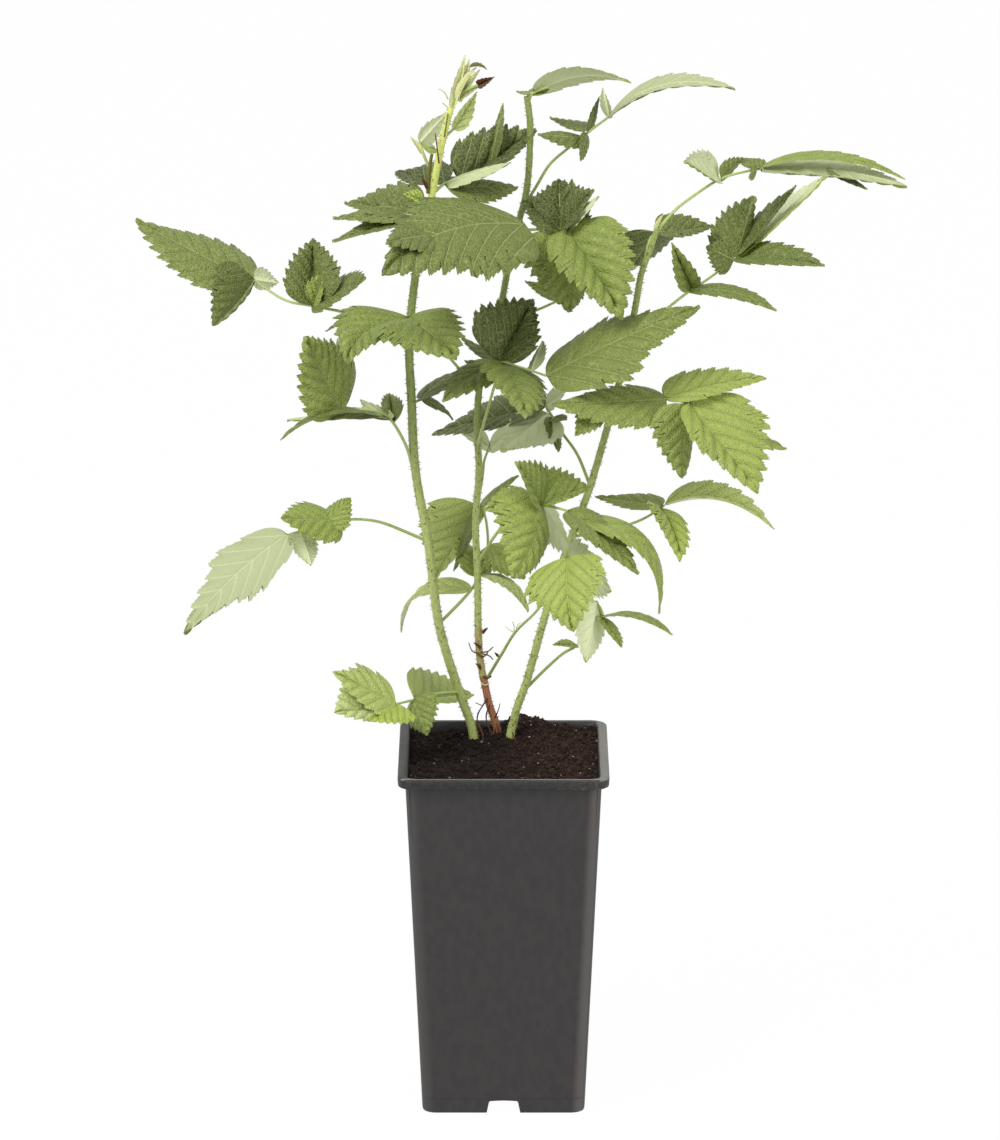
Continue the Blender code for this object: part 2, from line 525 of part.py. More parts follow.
def build_pot(parts, cutters, material):
    """The thin-walled pot: rim collar, tapered wall, raised floor with holes, slotted foot."""
    rim_low = POT_HEIGHT - RIM_DEPTH
    floor_top = FLOOR_LEVEL + FLOOR_THICKNESS
    over = 0.002
    pot = tapered_block("pot", parts, rim_low, POT_HEIGHT, RIM_WIDTH - 0.0008, RIM_WIDTH,
                        CORNER_RADIUS)
    pot.data.materials.append(material)
    groove = tapered_block("rim_groove", cutters, rim_low - over, POT_HEIGHT - RIM_SKIRT,
                           RIM_WIDTH - 2 * RIM_SKIRT - 0.0008, RIM_WIDTH - 2 * RIM_SKIRT,
                           CORNER_RADIUS - RIM_SKIRT)
    top = POT_HEIGHT - RIM_SKIRT / 2
    wall = tapered_block("wall_block", cutters, 0.0, top, wall_width(0.0), wall_width(top),
                         CORNER_RADIUS)
    inside = tapered_block("inner_space", cutters, floor_top, POT_HEIGHT + over,
                           wall_width(floor_top) - 2 * WALL,
                           wall_width(POT_HEIGHT + over) - 2 * WALL,
                           CORNER_RADIUS - WALL)
    recess = tapered_block("foot_recess", cutters, -over, FLOOR_LEVEL,
                           wall_width(-over) - 2 * WALL, wall_width(FLOOR_LEVEL) - 2 * WALL,
                           CORNER_RADIUS - WALL)
    notch_x = box_cutter("notch_x", cutters, (NOTCH_WIDTH, 2 * BASE_WIDTH, NOTCH_HEIGHT + over),
                         (0, 0, (NOTCH_HEIGHT - over) / 2))
    notch_y = box_cutter("notch_y", cutters, (2 * BASE_WIDTH, NOTCH_WIDTH, NOTCH_HEIGHT + over),
                         (0, 0, (NOTCH_HEIGHT - over) / 2))
    add_boolean(pot, groove, "DIFFERENCE")
    add_boolean(pot, wall, "UNION")
    for cutter in (inside, recess, notch_x, notch_y):
        add_boolean(pot, cutter, "DIFFERENCE")
    drains = [(x, y) for x in (-DRAIN_SPACING, DRAIN_SPACING)
              for y in (-DRAIN_SPACING, DRAIN_SPACING)]
    for index, (x, y) in enumerate(drains):
        hole = drain_cutter(f"drain_{index}", cutters, (x, y, floor_top))
        hide_cutter(hole)
        add_boolean(pot, hole, "DIFFERENCE")
    for cutter in (groove, wall, inside, recess, notch_x, notch_y):
        hide_cutter(cutter)
    return pot


# ---- compost

def soil_height(x, y):
    """Top of the compost: nearly level, heaped up round the canes, uneven all over."""
    heap = 10.0 * math.exp(-((x - 8) ** 2 / 400 + (y - 40) ** 2 / 280))
    lumps = 1.2 * math.sin(0.21 * x + 0.8) * math.sin(0.17 * y - 0.5)
    return SOIL_LEVEL + (heap + lumps + 0.7 * math.sin(0.41 * x + 0.33 * y)) * MM


def build_soil(parts, clearances, material):
    floor_top = FLOOR_LEVEL + FLOOR_THICKNESS
    soil = tapered_block("soil", parts, floor_top + GAP, SOIL_LEVEL,
                         wall_width(floor_top) - 2 * WALL - 2 * GAP,
                         wall_width(SOIL_LEVEL) - 2 * WALL - 2 * GAP, CORNER_RADIUS - WALL)
    soil.data.materials.append(material)
    shape = bmesh.new()
    shape.from_mesh(soil.data)
    for axis in ((1, 0, 0), (0, 1, 0)):
        for step in range(1, SOIL_STEPS):
            place = (step / SOIL_STEPS - 0.5) * wall_width(SOIL_LEVEL) * 0.94
            top = [face for face in shape.faces if face.normal.z > 0.9]
            geometry = top + [edge for face in top for edge in face.edges]
            geometry += [corner for face in top for corner in face.verts]
            bmesh.ops.bisect_plane(shape, geom=list(set(geometry)), dist=1e-6,
                                   plane_co=Vector(axis) * place, plane_no=axis)
    for corner in shape.verts:
        if corner.co.z > SOIL_LEVEL - 1e-5:
            inner = max(abs(corner.co.x), abs(corner.co.y)) < wall_width(SOIL_LEVEL) / 2 - 0.004
            if inner:
                corner.co.z = soil_height(corner.co.x / MM, corner.co.y / MM)
    bmesh.ops.recalc_face_normals(shape, faces=shape.faces)
    shape.to_mesh(soil.data)
    shape.free()
    for clearance in clearances.values():
        add_boolean(soil, clearance, "DIFFERENCE")
    return soil


def main():
    clear_scene()
    parts = new_collection("raspberry_plant")
    cutters = new_collection("cutters")
    plastic = new_material("pot_plastic", (0.045, 0.043, 0.040), 0.45)
    compost = new_material("compost", (0.017, 0.010, 0.007), 0.95)
    bark = new_material("cane_bark", (0.36, 0.45, 0.12), 0.6)
    foliage = new_material("leaf_green", (0.15, 0.24, 0.05), 0.55)
    build_pot(parts, cutters, plastic)
    clearances = build_canes(parts, cutters, bark)
    build_soil(parts, clearances, compost)
    for name, plan in LEAVES.items():
        build_leaf(name, plan, parts, cutters, clearances, foliage)
    for item in bpy.data.objects:
        item.data.transform(Matrix.Translation(POT_PLACE))


main()
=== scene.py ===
import math
import bmesh
import bpy
from mathutils import Matrix, Vector


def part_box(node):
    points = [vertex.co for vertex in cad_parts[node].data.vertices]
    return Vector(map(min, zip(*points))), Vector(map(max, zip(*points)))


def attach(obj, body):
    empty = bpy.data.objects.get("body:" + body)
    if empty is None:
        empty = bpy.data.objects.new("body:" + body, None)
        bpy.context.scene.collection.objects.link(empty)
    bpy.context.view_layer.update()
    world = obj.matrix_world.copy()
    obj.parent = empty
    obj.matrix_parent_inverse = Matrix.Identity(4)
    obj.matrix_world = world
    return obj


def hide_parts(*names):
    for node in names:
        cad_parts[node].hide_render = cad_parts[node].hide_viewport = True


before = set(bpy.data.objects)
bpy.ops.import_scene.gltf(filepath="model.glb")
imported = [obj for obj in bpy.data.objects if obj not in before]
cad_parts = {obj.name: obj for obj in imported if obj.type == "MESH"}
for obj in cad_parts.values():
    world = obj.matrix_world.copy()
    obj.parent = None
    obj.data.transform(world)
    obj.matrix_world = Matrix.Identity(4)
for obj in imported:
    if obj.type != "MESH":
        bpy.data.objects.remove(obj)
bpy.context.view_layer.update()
mm = 0.001

potLow, potHigh = (Vector(corner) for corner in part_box("pot"))
potPlace = Vector(((potLow.x + potHigh.x) / 2, (potLow.y + potHigh.y) / 2, potLow.z))


def placed(point):
    # a point of the plan, in millimetres from the middle of the pot's foot
    return potPlace + Vector(point) * mm


class Wire:
    # one socket of a node tree; maths on it adds nodes, and the root wire has no socket
    def __init__(self, tree, socket=None):
        self.tree, self.socket = tree, socket

    def add(self, kind, settings=None, sockets=None, out=0):
        node = self.tree.nodes.new(kind)
        for name, value in (settings or {}).items():
            if name == "stops":
                setStops(node.color_ramp, value)
            else:
                setattr(node, name, value)
        for key, value in (sockets or {}).items():
            for part in value if isinstance(value, list) else [value]:
                if isinstance(part, Wire):
                    self.tree.links.new(part.socket, node.inputs[key])
                else:
                    node.inputs[key].default_value = part
        return Wire(self.tree, node.outputs[out] if node.outputs else None)

    def output(self, name):
        return Wire(self.tree, self.socket.node.outputs[name])

    def spot(self):
        # where a surface point lies, on Object coordinates
        return self.add("ShaderNodeTexCoord", None, None, "Object")

    def stored(self, name, out="Vector"):
        # a value that the blade's tree has stored on its points
        return self.add("ShaderNodeAttribute", {"attribute_name": name}, None, out)

    def scaled(self, scale):
        return self.add("ShaderNodeMapping", None, {"Vector": self, "Scale": scale})

    def finished(self, material):
        # this geometry with a material on it
        return self.add("GeometryNodeSetMaterial", None, {"Geometry": self, "Material": material})

    def isVector(self):
        return self.socket.type in ("VECTOR", "RGBA")

    def maths(self, operation, *values):
        wires = dict(enumerate((self,) + values))
        if any(isinstance(value, Wire) and value.isVector() for value in wires.values()):
            for key, value in wires.items():
                wires[key] = (value,) * 3 if isinstance(value, (int, float)) else value
            return self.add("ShaderNodeVectorMath", {"operation": operation}, wires)
        return self.add("ShaderNodeMath", {"operation": operation}, wires)

    def __add__(self, other):
        return self.maths("ADD", other)

    __radd__ = __add__

    def __sub__(self, other):
        return self.maths("SUBTRACT", other)

    def __rsub__(self, other):
        return self.add("ShaderNodeMath", {"operation": "SUBTRACT"}, {0: other, 1: self})

    def __mul__(self, other):
        for vector, number in ((self, other), (other, self)):
            single = not isinstance(number, Wire) or not number.isVector()
            if isinstance(vector, Wire) and vector.isVector() and single:
                return self.add("ShaderNodeVectorMath", {"operation": "SCALE"},
                                {0: vector, "Scale": number})
        return self.maths("MULTIPLY", other)

    __rmul__ = __mul__

    def __truediv__(self, other):
        return self.maths("DIVIDE", other)

    def __pow__(self, other):
        return self.maths("POWER", other)

    def __abs__(self):
        return self.maths("ABSOLUTE")

    def fract(self):
        return self.maths("FRACT")

    def sine(self):
        return self.maths("SINE")

    def least(self, other):
        return self.maths("MINIMUM", other)

    def most(self, other):
        return self.maths("MAXIMUM", other)

    def above(self, limit):
        return self.maths("GREATER_THAN", limit)

    def measure(self, operation, *values):
        sockets = dict(enumerate((self,) + values))
        return self.add("ShaderNodeVectorMath", {"operation": operation}, sockets, "Value")

    def smooth(self, low, high):
        # 0 below the first limit, 1 above the second; the limits may be given the other way round
        settings = {"interpolation_type": "SMOOTHSTEP"}
        flip = low > high
        span = {"From Min": high, "From Max": low} if flip else {"From Min": low, "From Max": high}
        span.update({"To Min": 1.0, "To Max": 0.0} if flip else {"To Min": 0.0, "To Max": 1.0})
        return self.add("ShaderNodeMapRange", settings, dict(span, Value=self))

    def between(self, first, second):
        # a colour mixed from two, with this number as the share of the second
        return self.add("ShaderNodeMix", {"data_type": "RGBA"}, {0: self, 6: first, 7: second}, 2)

    def split(self):
        parts = self.add("ShaderNodeSeparateXYZ", None, {0: self})
        return parts, parts.output("Y"), parts.output("Z")

    def join(self, x, y, z):
        return self.add("ShaderNodeCombineXYZ", None, {0: x, 1: y, 2: z})

    def noise(self, scale, detail=2.0, where=None, kind="Fac"):
        sockets = {"Scale": scale, "Detail": detail}
        if where is not None:
            sockets["Vector"] = where
        return self.add("ShaderNodeTexNoise", None, sockets, kind)


def setStops(ramp, stops):
    while len(ramp.elements) < len(stops):
        ramp.elements.new(1.0)
    for element, (place, colour) in zip(ramp.elements, stops):
        element.position, element.color = place, colour


def paint(red, green, blue):
    # a colour given as it is seen, from 0 to 255, in the linear values that shaders take
    def linear(level):
        share = level / 255
        return share / 12.92 if share <= 0.04045 else ((share + 0.055) / 1.055) ** 2.4
    return (linear(red), linear(green), linear(blue), 1.0)


def newTree(name, inputs):
    # a geometry tree with named inputs, and the identifier of each
    tree = bpy.data.node_groups.new(name, "GeometryNodeTree")
    identifiers = {}
    for label, kind in inputs.items():
        socket = tree.interface.new_socket(label, in_out="INPUT", socket_type="NodeSocket" + kind)
        identifiers[label] = socket.identifier
    tree.interface.new_socket("Geometry", in_out="OUTPUT", socket_type="NodeSocketGeometry")
    root = Wire(tree)
    return root, root.add("NodeGroupInput"), identifiers


def closeTree(geometry):
    geometry.add("NodeGroupOutput", None, {0: geometry})


def addObject(name, data):
    item = bpy.data.objects.new(name, data)
    bpy.context.scene.collection.objects.link(item)
    return item


def shapeMesh(shape, name):
    # a worked bmesh as a mesh
    mesh = bpy.data.meshes.new(name)
    shape.to_mesh(mesh)
    shape.free()
    return mesh


def growObject(name, data, treeAndInputs, values):
    # an object whose modifier runs the tree with these values
    tree, identifiers = treeAndInputs
    grower = addObject(name, data)
    step = grower.modifiers.new("grow", "NODES")
    step.node_group = tree
    for label, value in values.items():
        step[identifiers[label]] = value
    return grower


def settle(growers, name):
    # the growers' evaluated shapes as one plain mesh object
    depsgraph = bpy.context.evaluated_depsgraph_get()
    meshes = [bpy.data.meshes.new_from_object(item.evaluated_get(depsgraph)) for item in growers]
    plain = [addObject(name, mesh) for mesh in meshes]
    for item in growers:
        bpy.data.objects.remove(item, do_unlink=True)
    if len(plain) > 1:
        with bpy.context.temp_override(active_object=plain[0], selected_editable_objects=plain):
            bpy.ops.object.join()
    plain[0].name = plain[0].data.name = name
    return plain[0]


def openMaterial(name, **settings):
    # a material whose Principled shader has these constant values, and its tree's root wire
    material = bpy.data.materials.new(name)
    material.use_nodes = True
    shader = material.node_tree.nodes["Principled BSDF"]
    for label, value in settings.items():
        shader.inputs[label.replace("_", " ")].default_value = value
    return material, Wire(material.node_tree), shader


def feed(shader, socket, wire):
    wire.tree.links.new(wire.socket, shader.inputs[socket])


def bump(root, height, strength, distance):
    return root.add("ShaderNodeBump", None,
                    {"Height": height, "Strength": strength, "Distance": distance}, "Normal")


# how every blade is shaped
leafShape = {
    "rowSlant": 0.35,        # how far the rows sweep forward
    "heart": 0.42,           # exponents of the outline at the base and at the tip
    "taper": 1.0,
    "peak": 0.422,
    "veinSlant": 1.15,       # forward lean of the side veins
    "toothDepth": 0.25,      # depth of the teeth, as a share of the half width
    "finePerTooth": 4.0,
    "ragged": 0.22,          # how unevenly the outline swells, as a share of the half width
    "quilt": 0.034,          # height of the blade between its veins, as a share of its width
    "cup": 0.030,            # roundness of each half
    "wave": 0.2,             # waviness of the margin
    "thickness": 0.32 * mm,
    "midrib": 0.55 * mm,
    "crowding": 1.45,        # how much closer the columns stand near the midrib
}


def leafletTree(shape):
    # bends a grid into a toothed, quilted blade with a top and an underside
    root, given, identifiers = newTree("leaflet", {
        "Base": "Vector", "Tip": "Vector", "Upward": "Vector", "Width": "Float", "Fold": "Float",
        "Arch": "Float", "Sweep": "Float", "Lobe": "Float", "Lean": "Float", "Veins": "Float",
        "Rows": "Int", "Columns": "Int", "Tone": "Float", "Seed": "Float", "Top": "Material",
        "Underside": "Material"})
    base, tip, upward, width = (given.output(name) for name in ("Base", "Tip", "Upward", "Width"))
    veins, seed = given.output("Veins"), given.output("Seed")
    reachAll = tip - base
    length = reachAll.measure("LENGTH")
    forward = reachAll.maths("NORMALIZE")
    right = forward.maths("CROSS_PRODUCT", upward)
    grid = root.add("GeometryNodeMeshGrid", None, {
        "Size X": 2.0, "Size Y": 1.0, "Vertices X": given.output("Columns"),
        "Vertices Y": given.output("Rows")}, "Mesh")
    x, y, _ = root.add("GeometryNodeInputPosition").split()
    side = abs(x).least(1.0) ** shape["crowding"]
    sign = x.maths("SIGN")
    along = (y + 0.5).most(0.0).least(1.0)
    spread = along * (1.0 - along) * shape["rowSlant"]
    reach = along + side * spread
    margin = along + spread
    lobe = margin.smooth(0.18, 0.5) * margin.smooth(0.6, 0.5)
    outline = margin ** shape["heart"] * (1.0 - margin).most(0.0) ** shape["taper"] / shape["peak"]
    half = width * 0.5 * outline * (lobe * given.output("Lobe") * 1.6 + 1.0)
    half = half * (sign * given.output("Lean") + 1.0)
    vein = (reach - side * half / length * shape["veinSlant"]) * veins
    grain = root.join(vein, sign * 4.0, seed).noise(1.1, 1.0)
    swelling = root.join(vein * 0.42, sign * 7.0, seed).noise(1.0, 1.0) - 0.5
    phase = (vein - 0.12).fract()
    tooth = phase * phase.smooth(1.0, 0.84)
    finePhase = ((vein - 0.12) * shape["finePerTooth"]).fract()
    fineTooth = finePhase * finePhase.smooth(1.0, 0.72)
    edge = side.smooth(0.6, 1.0)
    ends = along.smooth(0.05, 0.22)
    serration = (tooth * (grain * 1.5 + 0.05) + fineTooth * 0.4 - 0.5) * ends * edge
    toothSize = (half * 0.65 + width * 0.16 * along.smooth(1.0, 0.8)) * shape["toothDepth"]
    lateral = side * half * (swelling * shape["ragged"] * side * ends * 2.0 + 1.0)
    lateral = lateral + serration * toothSize
    lean = serration * toothSize * 0.8
    bow = reach * (1.0 - reach) * 4.0
    rib = base + forward * (length * reach + lean)
    rib = rib + (upward * given.output("Arch") + right * given.output("Sweep")) * bow
    cosine, sine = given.output("Fold").maths("COSINE"), given.output("Fold").sine()
    facing = upward * cosine - right * (sine * sign)
    pillow = abs((vein * math.pi).sine()) * side.smooth(0.0, 0.25) * side.smooth(1.0, 0.75) * ends
    ripple = root.join(vein * 0.55, sign * 3.0, seed).noise(1.0, 1.0) - 0.5
    relief = width * (pillow * shape["quilt"] + side * (1.0 - side) * 4.0 * shape["cup"]
                      + ripple * shape["wave"] * side * side * bow)
    relief = relief - side.smooth(0.12, 0.0) * 0.25 * mm * ends * (1.0 - along)
    place = rib + right * (sign * lateral * cosine) + upward * (lateral * sine) + facing * relief
    body = side.smooth(1.0, 0.8) * along.smooth(0.0, 0.04) * along.smooth(1.0, 0.96)
    depth = side.smooth(0.1, 0.0) * shape["midrib"] * (1.0 - along * 0.6)
    depth = (depth + shape["thickness"]) * body
    pattern = root.join(x, vein, lateral / mm)
    spot = root.join(reach * length / mm, sign * lateral / mm, seed * 9.0)
    sheets = []
    for material, offset in (("Top", None), ("Underside", depth)):
        sheetPlace = place if offset is None else place - facing * offset
        sheet = root.add("GeometryNodeStoreNamedAttribute", {"data_type": "FLOAT_VECTOR"},
                         {"Geometry": grid, "Name": "blade", 3: pattern})
        sheet = root.add("GeometryNodeStoreNamedAttribute", {"data_type": "FLOAT_VECTOR"},
                         {"Geometry": sheet, "Name": "grain", 3: spot})
        sheet = root.add("GeometryNodeSetPosition", None, {
            "Geometry": sheet, "Position": sheetPlace})
        if offset is not None:
            sheet = root.add("GeometryNodeFlipFaces", None, {0: sheet})
        sheets.append(sheet.finished(given.output(material)))
    blade = root.add("GeometryNodeJoinGeometry", None, {0: sheets})
    blade = root.add("GeometryNodeMergeByDistance", None, {"Geometry": blade, "Distance": 0.00002})
    blade = root.add("GeometryNodeStoreNamedAttribute", {"data_type": "FLOAT"},
                     {"Geometry": blade, "Name": "tone", "Value": given.output("Tone")})
    sharp = root.add("GeometryNodeInputMeshEdgeAngle").above(math.radians(75))
    blade = root.add("GeometryNodeSetShadeSmooth", {"domain": "FACE"}, {
        "Geometry": blade, "Shade Smooth": True})
    blade = root.add("GeometryNodeSetShadeSmooth", {"domain": "EDGE"}, {
        "Geometry": blade, "Selection": sharp, "Shade Smooth": False})
    closeTree(blade)
    return root.tree, identifiers


def stemTree():
    # sweeps a round stem along a curve and sets fine prickles on it
    root, given, identifiers = newTree("stem", {
        "Geometry": "Geometry", "Sides": "Int", "Step": "Float", "Knobs": "Float",
        "Prickles": "Float", "Prickle Length": "Float", "Prickle Width": "Float", "Seed": "Int",
        "Bark": "Material", "Prickle": "Material"})
    path = root.add("GeometryNodeCurveSplineType", {"spline_type": "CATMULL_ROM"}, {0: given})
    path = root.add("GeometryNodeResampleCurve", {"mode": "LENGTH"}, {
        "Curve": path, "Length": given.output("Step")})
    ring = root.add("GeometryNodeCurvePrimitiveCircle", None, {
        "Resolution": given.output("Sides"), "Radius": 1.0})
    radius = root.add("GeometryNodeInputRadius")
    stem = root.add("GeometryNodeCurveToMesh", None, {
        "Curve": path, "Profile Curve": ring, "Scale": radius, "Fill Caps": True})
    normal = root.add("GeometryNodeInputNormal")
    swell = (root.noise(330.0, 2.0) - 0.5) * given.output("Knobs")
    stem = root.add("GeometryNodeSetPosition", None, {"Geometry": stem, "Offset": normal * swell})
    stem = stem.finished(given.output("Bark"))
    points = root.add("GeometryNodeDistributePointsOnFaces", None, {
        "Mesh": stem, "Density": given.output("Prickles"), "Seed": given.output("Seed")})
    cone = root.add("GeometryNodeMeshCone", None, {
        "Vertices": 4, "Radius Top": 0.0, "Radius Bottom": given.output("Prickle Width"),
        "Depth": given.output("Prickle Length")})
    jitter = root.add("FunctionNodeRandomValue", {"data_type": "FLOAT_VECTOR"}, {
        0: (-0.45, -0.45, -0.45), 1: (0.45, 0.45, 0.45), "Seed": 3})
    turn = root.add("FunctionNodeAlignRotationToVector", {"axis": "Z"}, {
        "Vector": points.output("Normal") + jitter})
    size = root.add("FunctionNodeRandomValue", {"data_type": "FLOAT"},
                    {2: 0.35, 3: 1.2, "Seed": 5}, 1)
    bristles = root.add("GeometryNodeInstanceOnPoints", None, {
        "Points": points, "Instance": cone, "Rotation": turn, "Scale": size})
    bristles = root.add("GeometryNodeRealizeInstances", None, {0: bristles})
    bristles = bristles.finished(given.output("Prickle"))
    closeTree(root.add("GeometryNodeJoinGeometry", None, {0: [stem, bristles]}))
    return root.tree, identifiers


def leaflet(base, tip, width, roll=0, fold=0, arch=0, sweep=0, lobe=0, lean=0, tone=None):
    # where a leaflet starts and ends, how wide it is, how it is turned, bent, lobed and coloured,
    # and how much wider its right half is than its left
    return dict(base=base, tip=tip, width=width, roll=roll, fold=fold, arch=arch, sweep=sweep,
                lobe=lobe, lean=lean, tone=tone)


